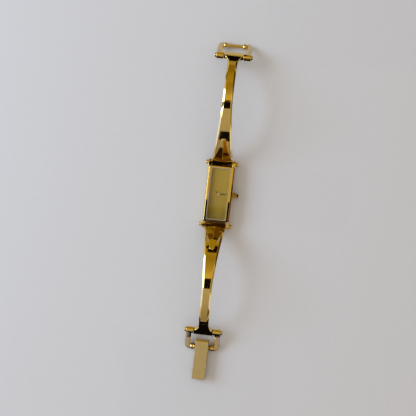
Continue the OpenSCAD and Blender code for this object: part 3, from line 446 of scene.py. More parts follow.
@dataclass(frozen=True)
class Finish:
    """An opaque surface with the small detail of its kind.

    Args:
        name: the material's name.
        colour: linear red, green and blue.
        metallic: 1 for metal and 0 for the rest.
        roughness: mean roughness.
        swing: how far the roughness moves either way.
        grain: how the surface was finished.
        along: axis that brushed lines follow, 0 to 2.
        line_width: width of a brushed line or of a satin grain.
        relief: height of the grain in micrometres.
        tint: share by which the colour darkens in places.
    """

    name: str
    colour: Colour
    metallic: float
    roughness: float
    swing: float
    grain: Grain
    along: int = 1
    line_width: float = 0.12
    relief: float = 4.0
    tint: float = 0.08

    def scale(self) -> tuple[float, float, float]:
        """Noise scale: one over the line width, and much less along brushed lines.

        Returns:
            The scale for each axis.
        """
        across = 1 / (self.line_width * MM)
        lengthwise = across / (BRUSH_STRETCH if self.grain is Grain.BRUSHED else 1)
        return tuple(lengthwise if axis == self.along else across for axis in range(3))

    @cache
    def material(self) -> bpy.types.Material:
        """The node material, made once: grain drives roughness and relief, broad noise drives the colour.

        Returns:
            The material of that name.
        """
        made, tree, shader = node_material(self.name)
        fine = noise(tree, self.scale(), FINE_DETAIL)
        broad = noise(tree, (BROAD, BROAD, BROAD), BROAD_DETAIL)
        wave = broad if self.grain is Grain.POLISHED else fine
        darker = tuple(c * (1 - self.tint) for c in self.colour)
        inputs = {
            "Metallic": self.metallic,
            "Roughness": mapped(tree, fine, self.roughness - self.swing, self.roughness + self.swing),
            "Base Color": blended(tree, broad, darker, self.colour),
            "Normal": wired(tree, "Bump", "Normal", {"Height": wave, "Distance": self.relief * MM * MM}),
        }
        feed(tree, shader, inputs)
        return made


@dataclass(frozen=True)
class ClearFinish:
    """Clear mineral glass, which lets the lamps through to what lies below it.

    Args:
        name: the material's name.
        colour: linear red, green and blue of what passes.
        index: refractive index.
        haze: roughness of the handled surface.
    """

    name: str
    colour: Colour
    index: float
    haze: float

    @cache
    def material(self) -> bpy.types.Material:
        """The node material, made once: clear glass whose roughness a fine noise lifts like wiping marks.

        Returns:
            The material of that name.
        """
        made, tree, shader = node_material(self.name)
        marks = noise(tree, (BROAD, BROAD / WIPE_STRETCH, BROAD), WIPE_DETAIL)
        inputs = {
            "Base Color": (*self.colour, 1),
            "IOR": self.index,
            "Transmission Weight": 1,
            "Roughness": mapped(tree, marks, 0.0, self.haze),
        }
        feed(tree, shader, inputs)
        lamp_ray = wired(tree, "LightPath", "Is Shadow Ray")
        through = wired(tree, "BsdfTransparent", "BSDF")
        mix = wired(tree, "MixShader", "Shader", {"Fac": lamp_ray, 1: shader.outputs["BSDF"], 2: through})
        feed(tree, tree.nodes["Material Output"], {"Surface": mix})
        return made


AnyFinish = Finish | ClearFinish

GOLD_TONE = (0.90, 0.65, 0.22)
GOLD_POLISHED = Finish("polished_gold", GOLD_TONE, 1, 0.07, 0.03, Grain.POLISHED, relief=3.0, line_width=0.3)
GOLD_SATIN = Finish("satin_gold", (0.90, 0.80, 0.60), 1, 0.42, 0.08, Grain.SATIN, relief=6.0, line_width=0.1)
GOLD_BRUSHED = Finish("brushed_gold", (0.78, 0.60, 0.305), 1, 0.36, 0.12, Grain.BRUSHED, relief=7.0)
# Lit and shaded copies of the hands' gold: the bright one is a painted highlight for the ridge, the two
# darker ones are painted shade for the baton and the hub.
HAND_HIGHLIGHT_GOLD = Finish("bright_hand_gold", (1.0, 0.84, 0.52), 1, 0.16, 0.05, Grain.POLISHED, relief=1.0)
HAND_HUB_SHADE_GOLD = Finish("soft_hand_gold", (0.46, 0.30, 0.07), 1, 0.35, 0.06, Grain.SATIN, relief=1.0)
HAND_SHADE_GOLD = Finish("dark_hand_gold", (0.03, 0.015, 0.006), 1, 0.3, 0.06, Grain.POLISHED, relief=1.0)
DIAL_TONE = (0.48, 0.305, 0.034)
DIAL_CHAMPAGNE = Finish(
    "champagne_dial", DIAL_TONE, 1, 0.44, 0.06, Grain.BRUSHED, line_width=0.05, relief=1.2, tint=0.05
)
BACK_STEEL = Finish("brushed_back_steel", (0.60, 0.60, 0.62), 1, 0.30, 0.08, Grain.BRUSHED, relief=4.0)
MOVEMENT_STEEL = Finish("fine_steel", (0.62, 0.62, 0.64), 1, 0.24, 0.06, Grain.BRUSHED, along=0)
BATTERY_STEEL = Finish("plated_steel", (0.66, 0.66, 0.67), 1, 0.20, 0.06, Grain.SATIN, relief=2.0)
MOVEMENT_BRASS = Finish("fine_brass", (0.78, 0.60, 0.30), 1, 0.28, 0.07, Grain.SATIN, relief=2.0)
COIL_COPPER = Finish("wound_copper", (0.72, 0.32, 0.16), 1, 0.36, 0.10, Grain.BRUSHED, line_width=0.03)
RUBBER_BLACK = Finish("black_rubber", (0.02, 0.02, 0.022), 0, 0.62, 0.08, Grain.MOULDED, relief=3.0)
SPACER_PLASTIC = Finish("pale_plastic", (0.70, 0.70, 0.66), 0, 0.46, 0.06, Grain.MOULDED, relief=2.0)
BOARD_GREEN = Finish("green_board", (0.03, 0.12, 0.06), 0, 0.38, 0.08, Grain.MOULDED, relief=3.0, tint=0.3)
GROUND_GLASS = Finish(
    "ground_glass", (0.50, 0.50, 0.47), 0, 0.4, 0.08, Grain.SATIN, line_width=0.06, relief=2.0
)
CRYSTAL_GLASS = ClearFinish("clear_glass", (0.98, 1.0, 0.98), 1.5, 0.03)
TABLE_TOP = Finish("table_top", (0.585, 0.585, 0.605), 0, 0.7, 0.05, Grain.SATIN, line_width=0.6, tint=0.015)


def new_mesh(name: str, points: list, faces: list) -> bpy.types.Mesh:
    """A new mesh.

    Args:
        name: the mesh's name.
        points: its points, in metres.
        faces: the point numbers of each face.

    Returns:
        The mesh.
    """
    mesh = bpy.data.meshes.new(name)
    mesh.from_pydata(points, [], faces)
    return mesh


def put_in_scene(name: str, data: bpy.types.ID) -> bpy.types.Object:
    """A new object in the scene.

    Args:
        name: the object's name.
        data: its mesh, lamp or camera.

    Returns:
        The object.
    """
    made = bpy.data.objects.new(name, data)
    bpy.context.scene.collection.objects.link(made)
    return made


def make_piece(
    name: str,
    shells: list[Shell],
    body: str,
    node: str,
    finishes: tuple[AnyFinish, ...] = (GOLD_POLISHED,),
) -> None:
    """Writes shells into one mesh, dresses it and puts it on its body in place of a node.

    Args:
        name: the piece's name.
        shells: closed surfaces in the frame, in millimetres.
        body: body that the piece rides on.
        node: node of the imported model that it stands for.
        finishes: what the shells' finish numbers stand for.
    """
    starts = np.cumsum([0] + [len(s.points) for s in shells])
    points = np.concatenate([s.points for s in shells]) * MM
    faces: list[list[int]] = []
    owners: list[int] = []
    for shell, start in zip(shells, starts):
        faces += (shell.quads + start).tolist() + [(c + start).tolist() for c in shell.caps]
        owners += [shell.finish] * len(shell.quads) + [shell.cap_finish] * len(shell.caps)
    mesh = new_mesh(name, points.tolist(), faces)
    mesh.polygons.foreach_set("material_index", owners)
    mesh.polygons.foreach_set("use_smooth", [True] * len(faces))
    mesh.set_sharp_from_angle(angle=math.radians(CREASE))
    piece = put_in_scene(name, mesh)
    for finish in finishes:
        mesh.materials.append(finish.material())
    even = piece.modifiers.new("even shading", "WEIGHTED_NORMAL")
    even.keep_sharp = True
    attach(piece, body)
    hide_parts(node)
    log.info("%s: %d faces in place of %s", name, len(faces), node)


def dress_nodes(frame: dict, finish: AnyFinish, *nodes: str) -> None:
    """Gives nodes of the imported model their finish.

    Args:
        finish: the finish.
        nodes: the nodes' names.
    """
    for node in nodes:
        mesh = frame["nodes"][node].data
        mesh.materials.clear()
        mesh.materials.append(finish.material())
        log.info("%s: keeps its form, finished in %s", node, finish.name)


# The watch

HINGE_Y, HINGE_Z = 14.3, 2.6


@dataclass
class Case:
    """The case middle with its lugs, the crystal, the dial and the case back."""

    half_w: float = 6.1
    half_l: float = 13.0
    height: float = 5.6
    foot: float = 0.62
    corner_r: float = 0.35
    base_bevel: float = 0.3
    bezel_bevel: float = 0.55
    bezel_drop: float = 0.8
    window: Span = (4.3, 11.6)
    window_r: float = 0.5
    rebate: float = 0.35
    ledge: float = 4.7
    dial_top: float = 3.72
    cavity: Span = (4.8, 12.0)
    wall_ease: tuple[float, ...] = (0.08, 0.12, 0.2, 0.13, 0.06, 0.03, 0.06, 0.04, 0.03, 0.05)
    lug_t: float = 1.3
    lug_r: float = 1.7
    lug_root: float = 12.5
    lug_steps: int = 33
    lug_ease: float = 0.16
    crystal: Span = (4.6, 11.9)
    crystal_z: Span = (4.85, 5.55)
    crystal_margin: float = 1.0
    crystal_bevel: float = 0.25
    crystal_ease: tuple[float, ...] = (0, 0.04, 0.02, 0.02, 0.02, 0)
    bevel_gap: float = 0.005
    bevel_ease: tuple[float, ...] = (0.01, 0.03, 0.03)

    def wall(self) -> Shell:
        """The case wall: its section, from the foot up the flank, over the bezel and down to the cavity.

        Returns:
            The softened section carried round the case's outline.
        """
        base, bezel = self.base_bevel, self.bezel_bevel
        high, shoulder, ledge = self.height, self.height - self.bezel_drop, self.ledge
        flank = [(base, self.foot), (0, self.foot + base), (0, shoulder), (bezel, high)]
        seat = [(-self.rebate, high), (-self.rebate, ledge), (0, ledge), (0, self.dial_top)]
        rings = np.concatenate(
            [
                drawn_in((self.half_w, self.half_l), self.corner_r, flank),
                drawn_in(self.window, self.window_r, seat),
                drawn_in(self.cavity, self.window_r, [(0, self.dial_top), (0, self.foot)]),
            ]
        )
        return grid_shell(rounded_rectangles(softened(rings, self.wall_ease)), wrap_rows=True)

    def lug(self, side_x: int, side_y: int) -> Shell:
        """One lug: a tongue outline, straight at its root and half round about the hinge axis.

        Args:
            side_x: 1 on the crown's side and -1 on the other.
            side_y: 1 at the upper end and -1 at the lower.

        Returns:
            The lug in the frame, with eased edges.
        """
        nose = self.lug_r * arc(-QUARTER, QUARTER, self.lug_steps) + [HINGE_Y, HINGE_Z]
        root = [[self.lug_root, HINGE_Z + rise] for rise in (self.lug_r, -self.lug_r)]
        flat = plate(np.concatenate([nose, root]), self.half_w - self.lug_t, self.half_w, self.lug_ease)
        y, z, x = flat.points.T
        return replace(flat, points=np.stack([side_x * x, side_y * y, z], axis=1)).outward()

    def glass(self) -> Shell:
        """The crystal: a block whose upper edge has a step for the ground bevel.

        Returns:
            The crystal in the frame.
        """
        (low, high), b, margin = self.crystal_z, self.crystal_bevel, self.crystal_margin
        rows = [(margin, low), (0, low), (0, high - b), (b, high - b), (b, high), (margin, high)]
        rings = drawn_in(self.crystal, self.window_r, rows)
        return grid_shell(rounded_rectangles(softened(rings, self.crystal_ease, closed=False)))

    def glass_bevel(self) -> Shell:
        """The ground bevel round the crystal's upper edge: a ring of three-cornered section.

        Returns:
            The bevel in the frame, in the crystal's second finish.
        """
        high, b, gap = self.crystal_z[1], self.crystal_bevel, self.bevel_gap
        rows = [(b + gap, high - b + gap), (gap, high - b + gap), (b + gap, high)]
        rings = drawn_in(self.crystal, self.window_r, rows)
        return grid_shell(rounded_rectangles(softened(rings, self.bevel_ease)), wrap_rows=True, finish=1)

    def build(self, frame: dict) -> None:
        """Makes the case wall with its four lugs and the crystal, and dresses the nodes that stay.
        """
        lugs = [self.lug(x, y) for x in (1, -1) for y in (1, -1)]
        glass = [self.glass(), self.glass_bevel()]
        make_piece("case_body", [self.wall(), *lugs], "watch_case", "case_middle")
        make_piece(
            "crystal_block", glass, "watch_case", "crystal", (CRYSTAL_GLASS, GROUND_GLASS)
        )
        dress_nodes(frame, DIAL_CHAMPAGNE, "dial")
        dress_nodes(frame, BACK_STEEL, "case_back")
        dress_nodes(frame, RUBBER_BLACK, "case_back_gasket", "crystal_gasket")


@dataclass
class HingePins:
    """The two pins between the lugs, with a neck, a flange and a domed button outside each lug."""

    shaft_r: float = 0.5
    start: float = 6.12
    neck_r: float = 0.75
    neck_l: float = 0.4
    flange_r: float = 1.15
    flange_l: float = 0.45
    button_r: float = 0.9
    button_l: float = 0.55
    pole_r: float = 0.27
    ease: tuple[float, ...] = (0.02, 0.05, 0.08, 0.14, 0.14, 0.05, 0.36, 0.02)

    def pin(self) -> Shell:
        """The pin: shaft, neck, flange and button, whose ends lie at a, b, c and d from its middle.

        Returns:
            The pin along the x axis.
        """
        a, b = self.start, self.start + self.neck_l
        c = b + self.flange_l
        d = c + self.button_l
        neck, flange, button = self.neck_r, self.flange_r, self.button_r
        outer = [[flange, b], [flange, c], [button, c], [button, d], [self.pole_r, d]]
        return turned_pin([[self.shaft_r, a], [neck, a], [neck, b], *outer], self.ease)

    def build(self) -> None:
        """Makes both pins from the same turned profile."""
        for name, side in (("upper", 1), ("lower", -1)):
            shell = Place(HINGE_Y, HINGE_Z, 0, side).shell(self.pin())
            make_piece(f"{name}_pin_turned", [shell], "watch_case", f"{name}_hinge_pin")


@dataclass
class Crown:
    """The fluted crown with its dome, and the stem's pieces behind it."""

    start: float = 6.22
    length: float = 2.8
    radius: float = 1.4
    edge: float = 0.12
    flute_l: float = 1.6
    flute_n: int = 20
    flute_steps: int = 8
    flute_depth: float = 0.14
    flute_power: float = 0.8
    barrel_steps: int = 8
    dome_turn: float = 80.0
    dome_steps: int = 14
    recess_r: float = 1.0
    recess_l: float = 0.9
    height: float = 2.74

    def skin(self) -> np.ndarray:
        """The turned profile from the recess over the flutes to the dome.

        Along the fluted length the radius falls by the depth times ((1 + cos(n a)) / 2) to the flutes' power.

        Returns:
            A grid with one row for each profile point.
        """
        x0, x1, r, e = self.start, self.start + self.flute_l, self.radius, self.edge
        lip = [[self.recess_r, x0 + self.recess_l], [self.recess_r, x0], [r - e, x0], [r, x0 + e]]
        barrel = [[r, x] for x in np.linspace(x0 + e, x1 - e, self.barrel_steps)[1:-1]]
        size = [r - e, self.length - self.flute_l - e]
        dome = arc(0, math.radians(self.dome_turn), self.dome_steps) * size + [0, x1 + e]
        profile = np.concatenate([lip, barrel, [[r, x1 - e], [r, x1]], dome])
        grid = turned(profile, self.flute_n * self.flute_steps)
        wave = (1 + np.cos(self.flute_n * np.arctan2(grid[..., 2], grid[..., 1]))) / 2
        fluted = (profile[:, 1] < x1) & (profile[:, 0] > self.recess_r + e)
        cut = self.flute_depth * fluted[:, None] * wave**self.flute_power
        grid[..., 1:] *= (1 - cut / profile[:, 0, None])[..., None]
        grid[..., 2] += self.height
        return grid

    def build(self, frame: dict) -> None:
        """Makes the crown and dresses its stem, sliding pinion, sealing ring and tube.
        """
        make_piece("crown_fluted", [grid_shell(self.skin())], "crown_knob", "crown")
        dress_nodes(frame, MOVEMENT_STEEL, "crown_stem", "sliding_pinion", "setting_lever")
        dress_nodes(frame, RUBBER_BLACK, "crown_gasket")
        dress_nodes(frame, GOLD_POLISHED, "crown_tube")


@dataclass(frozen=True)
class Hand:
    """What one hand has of its own.

    Args:
        name: minute or hour.
        length: from the centre to the tip.
        hub_r: radius of the hub.
        turn: direction in degrees from +X.
        height: height of the underside.
        ridge_share: the ridge's share of the width.
    """

    name: str
    length: float
    hub_r: float
    turn: float
    height: float
    ridge_share: float


@dataclass
class Hands:
    """The hour and the minute hand: tapered batons with a ridge, on a round hub, in lit and shaded copies of
    one gold (painted highlight and painted shade).
    """

    width: float = 0.44
    tip_w: float = 0.24
    thick: float = 0.1
    shoulder: float = 0.45
    taper_at: float = 0.6
    ridge_end: float = 0.68
    hub_steps: int = 33
    hub_ease: float = 0.04
    pair: tuple[Hand, ...] = (
        Hand("minute", 3.5, 0.42, 3.0, 4.45, 0.12),
        Hand("hour", 1.85, 0.64, 143.0, 4.2, 0.15),
    )

    def blade(self, hand: Hand) -> list[Shell]:
        """A flat baton in gold darkened as painted shade, with a ridge in gold brightened as painted
        highlight along its middle, and its hub in darkened gold as painted shade, turned to its place.

        Args:
            hand: what the hand has of its own.

        Returns:
            The baton, its ridge and the hub.
        """
        w, low = self.width / 2, hand.height
        high, side = low + self.thick, low + self.thick * self.shoulder
        along = np.array([-self.width, 0, hand.length * self.taper_at, hand.length])
        half = np.array([w, w, w, self.tip_w / 2])
        ridge, crest = half * hand.ridge_share, half * 0
        flat = [[-half, low], [half, low], [half, side], [-half, side]]
        roof = [[-ridge, low], [ridge, low], [ridge, side], [crest, high], [-ridge, side]]
        made = []
        # The flat baton takes the painted-shade gold (1), the ridge the painted-highlight gold (0).
        for section, reach, finish in ((flat, 1.0, 1), (roof, self.ridge_end, 0)):
            rows = [np.stack(np.broadcast_arrays(along * reach, a, b), axis=-1) for a, b in section]
            shell = grid_shell(np.stack(rows, axis=1))
            x, y, z = shell.points.T
            points = np.stack([*swung(x, y, hand.turn), z], axis=1)
            made.append(replace(shell, points=points, finish=finish, cap_finish=finish))
        hub = plate(hand.hub_r * arc(0, 2 * np.pi, self.hub_steps)[:-1], low, high, self.hub_ease)
        # The hub takes the darker gold (2): painted shade.
        return [*made, replace(hub, finish=2, cap_finish=2)]

    def build(self, frame: dict) -> None:
        """Makes both hands and dresses the motion work that carries them.
        """
        # Painted highlight, painted shade on the baton and painted shade on the hub, in the order of the
        # finish numbers.
        lit_and_shaded_golds = (HAND_HIGHLIGHT_GOLD, HAND_SHADE_GOLD, HAND_HUB_SHADE_GOLD)
        for hand in self.pair:
            name = hand.name
            make_piece(f"{name}_baton", self.blade(hand), f"{name}_group", f"{name}_hand", lit_and_shaded_golds)
        wheels = ("centre_wheel", "hour_wheel", "minute_wheel", "third_wheel")
        dress_nodes(frame, MOVEMENT_BRASS, "cannon_pinion", *wheels)


@dataclass
class Movement:
    """The hidden movement, whose pieces keep their forms."""

    brass: tuple[str, ...] = ("main_plate", "train_bridge")
    steel: tuple[str, ...] = ("bridge_screws", "battery_clamp", "motor_stator", "quartz_can")

    def build(self, frame: dict) -> None:
        """Dresses every node of the movement.
        """
        dress_nodes(frame, MOVEMENT_BRASS, *self.brass)
        dress_nodes(frame, MOVEMENT_STEEL, *self.steel)
        dress_nodes(frame, BATTERY_STEEL, "battery")
        dress_nodes(frame, COIL_COPPER, "motor_coil")
        dress_nodes(frame, BOARD_GREEN, "circuit_board")
        dress_nodes(frame, SPACER_PLASTIC, "movement_ring")


@dataclass
class Arm:
    """One rigid arm: hinge barrel, curved band, T end and the raised tongue on its root."""

    name: str
    place: Place
    thick: float = 1.6
    root_w: float = 9.36
    slim_w: float = 4.4
    tee_w: float = 8.76
    taper_start: float = 2.6
    taper_end: float = 32.0
    taper_power: float = 1.35
    bevel_w: float = 0.75
    bevel_drop: float = 0.45
    least_bevel: float = 0.12
    bevel_fade: float = 0.7
    band_ease: tuple[float, ...] = (0.16, 0.16, 0.1, 0.12, 0.12, 0.1)
    band_steps: int = 110
    root_straight: float = 3.6
    root_angle: float = 45.0
    root_radius: float = 34.3
    tip_radius: float = 23.0
    tip_angle: float = 48.0
    flare_l: float = 4.2
    flare_steps: int = 24
    tee_l: float = 1.0
    barrel_r: float = 1.18
    barrel_w: float = 9.4
    barrel_bore: float = 0.54
    barrel_ease: tuple[float, ...] = (0.03, 0.16, 0.16, 0.03)
    tee_r: float = 1.15
    tee_barrel_w: float = 8.8
    tee_bore: float = 0.64
    tee_overlap: float = 0.12
    tee_ease: float = 0.14
    lip_reach: float = 2.6
    lip_r: float = 0.8
    lip_drop: float = 0.05
    flat_reach: float = 1.15
    under_steps: int = 20
    nose_steps: int = 28
    tongue_l: float = 10.8
    tongue_w: float = 9.1
    tongue_tip_r: float = 1.2
    tongue_power: float = 1.4
    tongue_seat: float = 0.02
    tongue_edge: float = 0.22
    tongue_ease: tuple[float, ...] = (0.03, 0.03, 0.08, 0.2, 0.08)
    tongue_steps: int = 40
    tip_turn: float = 84.0
    tip_steps: int = 12
    ridge: Span = (0.95, 0.45)
    weld: float = 0.17

    def __post_init__(self) -> None:
        """Works out the angles and lengths that follow from the curve's radii and degrees."""
        self.root, self.tip = math.radians(self.root_angle), math.radians(self.tip_angle)
        self.apex_s = self.root_straight + self.root_radius * self.root
        self.bend_end = self.apex_s + self.tip_radius * self.tip
        self.rise = self.root_straight * math.sin(self.root) + self.root_radius * (1 - math.cos(self.root))
        last = (self.rise - self.tip_radius * (1 - math.cos(self.tip))) / math.sin(self.tip)
        self.length = self.bend_end + last
        self.apex_u = self.root_straight * math.cos(self.root) + self.root_radius * math.sin(self.root)
        self.bend_u = self.apex_u + self.tip_radius * math.sin(self.tip)
        self.chord = self.bend_u + last * math.cos(self.tip)
        self.flare_s = self.length - self.tee_l - self.flare_l
        self.tongue_end = self.taper_start + self.tongue_l

    def slope(self, s: np.ndarray) -> np.ndarray:
        """Slope of the mid-line in radians: constant, then falling along two circles, then constant.

        Args:
            s: distances along the mid-line.

        Returns:
            The slope at each distance.
        """
        first = np.clip(s - self.root_straight, 0, self.apex_s - self.root_straight) / self.root_radius
        second = np.clip(s - self.apex_s, 0, self.bend_end - self.apex_s) / self.tip_radius
        return np.maximum(self.root - first - second, -self.tip)

    def middle(self, s: np.ndarray) -> tuple[np.ndarray, np.ndarray]:
        """The mid-line: straight, a circle of the root's radius, a circle of the tip's radius, straight.

        Args:
            s: distances along the mid-line.

        Returns:
            Outward and upward distance from the hinge axis.
        """
        slope, lead = self.slope(s), self.root_straight * math.cos(self.root)
        stretch = [s < self.root_straight, s < self.apex_s, s < self.bend_end]
        u = [
            s * math.cos(self.root),
            lead + self.root_radius * (math.sin(self.root) - np.sin(slope)),
            self.apex_u + self.tip_radius * np.sin(-slope),
        ]
        v = [
            s * math.sin(self.root),
            self.rise - self.root_radius * (1 - np.cos(slope)),
            self.rise - self.tip_radius * (1 - np.cos(slope)),
        ]
        last_u = self.bend_u + (s - self.bend_end) * math.cos(self.tip)
        return np.select(stretch, u, last_u), np.select(stretch, v, (self.length - s) * math.sin(self.tip))

    def carried(self, s: np.ndarray, section: list[np.ndarray], ease: tuple[float, ...]) -> Shell:
        """Softens sections and carries them along the mid-line: x stays, n goes along the mid-line's normal.

        Args:
            s: the sections' distances along the mid-line.
            section: x and n of each corner, for all sections.
            ease: reach of the rounding at each corner.

        Returns:
            The closed surface in the frame.
        """
        corners = np.stack([np.stack(part, axis=1) for part in section], axis=-1)
        x, n = np.moveaxis(softened(corners, ease, FINE_STEPS), -1, 0)
        (u, v), slope = self.middle(s), self.slope(s)
        out = u[:, None] - n * np.sin(slope)[:, None]
        up = v[:, None] + n * np.cos(slope)[:, None]
        return grid_shell(self.place.put(np.stack([x, out, up], axis=-1)))

    def half(self, s: np.ndarray) -> np.ndarray:
        """Half width of the band: slender, wider by a power law at the root and by a quarter circle at the T.

        Args:
            s: distances along the mid-line.

        Returns:
            The half width at each distance.
        """
        span = self.taper_end - self.taper_start
        taper = np.clip((self.taper_end - s) / span, 0, 1) ** self.taper_power
        flare = 1 - np.sqrt(1 - share(s, self.flare_s, self.flare_l) ** 2)
        return (self.slim_w + (self.root_w - self.slim_w) * taper + (self.tee_w - self.slim_w) * flare) / 2

    def tongue_half(self, s: np.ndarray) -> np.ndarray:
        """Half width of the tongue: a power law down to the tip's radius, then the tip's quarter circle.

        Args:
            s: distances along the mid-line.

        Returns:
            The half width at each distance.
        """
        tip_r, into = self.tongue_tip_r, share(s, self.taper_start, self.tongue_l)
        side = tip_r + (self.tongue_w / 2 - tip_r) * (1 - into) ** self.tongue_power
        past = share(s, self.tongue_end, tip_r)
        return np.where(past > 0, tip_r * np.sqrt(1 - past**2), side)

    def band(self) -> Shell:
        """The band: a six-cornered section, flat below and bevelled above, softened and carried along.

        Returns:
            The band in the frame.
        """
        plain = np.linspace(self.barrel_bore + self.weld, self.flare_s, self.band_steps)
        flared = self.flare_s + self.flare_l * np.sin(np.linspace(0, QUARTER, self.flare_steps)[1:])
        s = np.concatenate([plain, flared, [self.length - self.tee_bore - self.weld]])
        half, t = self.half(s), self.thick / 2
        free = half - np.where(s < self.tongue_end + self.tongue_tip_r, self.tongue_half(s), 0)
        fade = 1 - self.bevel_fade * share(s, self.flare_s, self.flare_l)
        bevel = np.clip(free, self.least_bevel, self.bevel_w) * fade
        top = t - self.bevel_drop * bevel / self.bevel_w
        level = np.full_like(s, t)
        x = [-half, half, half, half - bevel, bevel - half, -half]
        return self.carried(s, [x, [-level, -level, top, level, level, top]], self.band_ease)

    def barrel(self) -> Shell:
        """The tube along the hinge's axis, with eased end edges.

        Returns:
            The tube in the frame.
        """
        h, bore, radius = self.barrel_w / 2, self.barrel_bore, self.barrel_r
        line = softened(np.array([[bore, -h], [radius, -h], [radius, h], [bore, h]]), self.barrel_ease)
        return grid_shell(self.place.put(turned(line, TUBE_STEPS)), wrap_rows=True)

    def tee(self) -> Shell:
        """The T end: a profile round the pin's bore, from the band's face over the pin to an elliptic nose.

        Its inner loop is the bore, each point at the same angle as its outer point.

        Returns:
            The T end in the frame.
        """
        r, t, low = self.tee_r, self.thick / 2, self.tee_r - self.lip_drop - 2 * self.lip_r
        back, rise = self.tee_bore + self.weld + self.tee_overlap, (t - low) / 2
        under = r * arc(math.asin(t / r) - np.pi, math.asin(low / r), self.under_steps)
        nose = arc(-QUARTER, QUARTER, self.nose_steps) * [self.lip_reach - self.flat_reach, rise]
        nose += [self.flat_reach, t - rise]
        outer = np.concatenate([[[-back, t], [-back, 0], [-back, -t]], under, nose, [[0, t]]])
        turn = np.arctan2(outer[:, 1], outer[:, 0])
        h = self.tee_barrel_w / 2
        skin = np.roll(raised(outer, eased_side([-h, h], self.tee_ease)), 1, axis=-1)
        bore = np.stack([0 * turn, self.tee_bore * np.cos(turn), self.tee_bore * np.sin(turn)], axis=1)[None]
        grid = np.concatenate([bore - [h, 0, 0], skin, bore + [h, 0, 0]])
        out, up = swung(grid[..., 1], grid[..., 2], -self.tip_angle)
        local = np.stack([grid[..., 0], self.chord + out, up], axis=-1)
        return grid_shell(self.place.put(local), wrap_rows=True)

    def tongue(self) -> Shell:
        """The tongue: a low roof whose ridge falls towards the round tip, carried along on top of the band.

        Returns:
            The tongue in the frame.
        """
        body = np.linspace(self.taper_start, self.tongue_end, self.tongue_steps)
        turn = np.radians(np.linspace(0, self.tip_turn, self.tip_steps)[1:])
        s = np.concatenate([body, self.tongue_end + self.tongue_tip_r * np.sin(turn)])
        half, edge = self.tongue_half(s), self.tongue_edge
        low = np.full_like(s, self.thick / 2 + self.tongue_seat)
        fall = share(s, self.taper_start, self.tongue_l)
        ridge = self.ridge[0] + (self.ridge[1] - self.ridge[0]) * fall
        shrink = np.where(s > self.tongue_end, half / self.tongue_tip_r, 1)
        peak = low + edge + (ridge - edge) * shrink
        x = [-half, half, half, half * 0, -half]
        return self.carried(s, [x, [low, low, low + edge, peak, low + edge]], self.tongue_ease)

    def build(self) -> None:
        """Makes the arm and its tongue."""
        name, shells = self.name, [self.band(), self.barrel(), self.tee()]
        make_piece(f"{name}_arm_band", shells, f"{name}_arm_group", f"{name}_arm")
        make_piece(f"{name}_arm_tongue", [self.tongue()], f"{name}_arm_group", f"{name}_tongue")


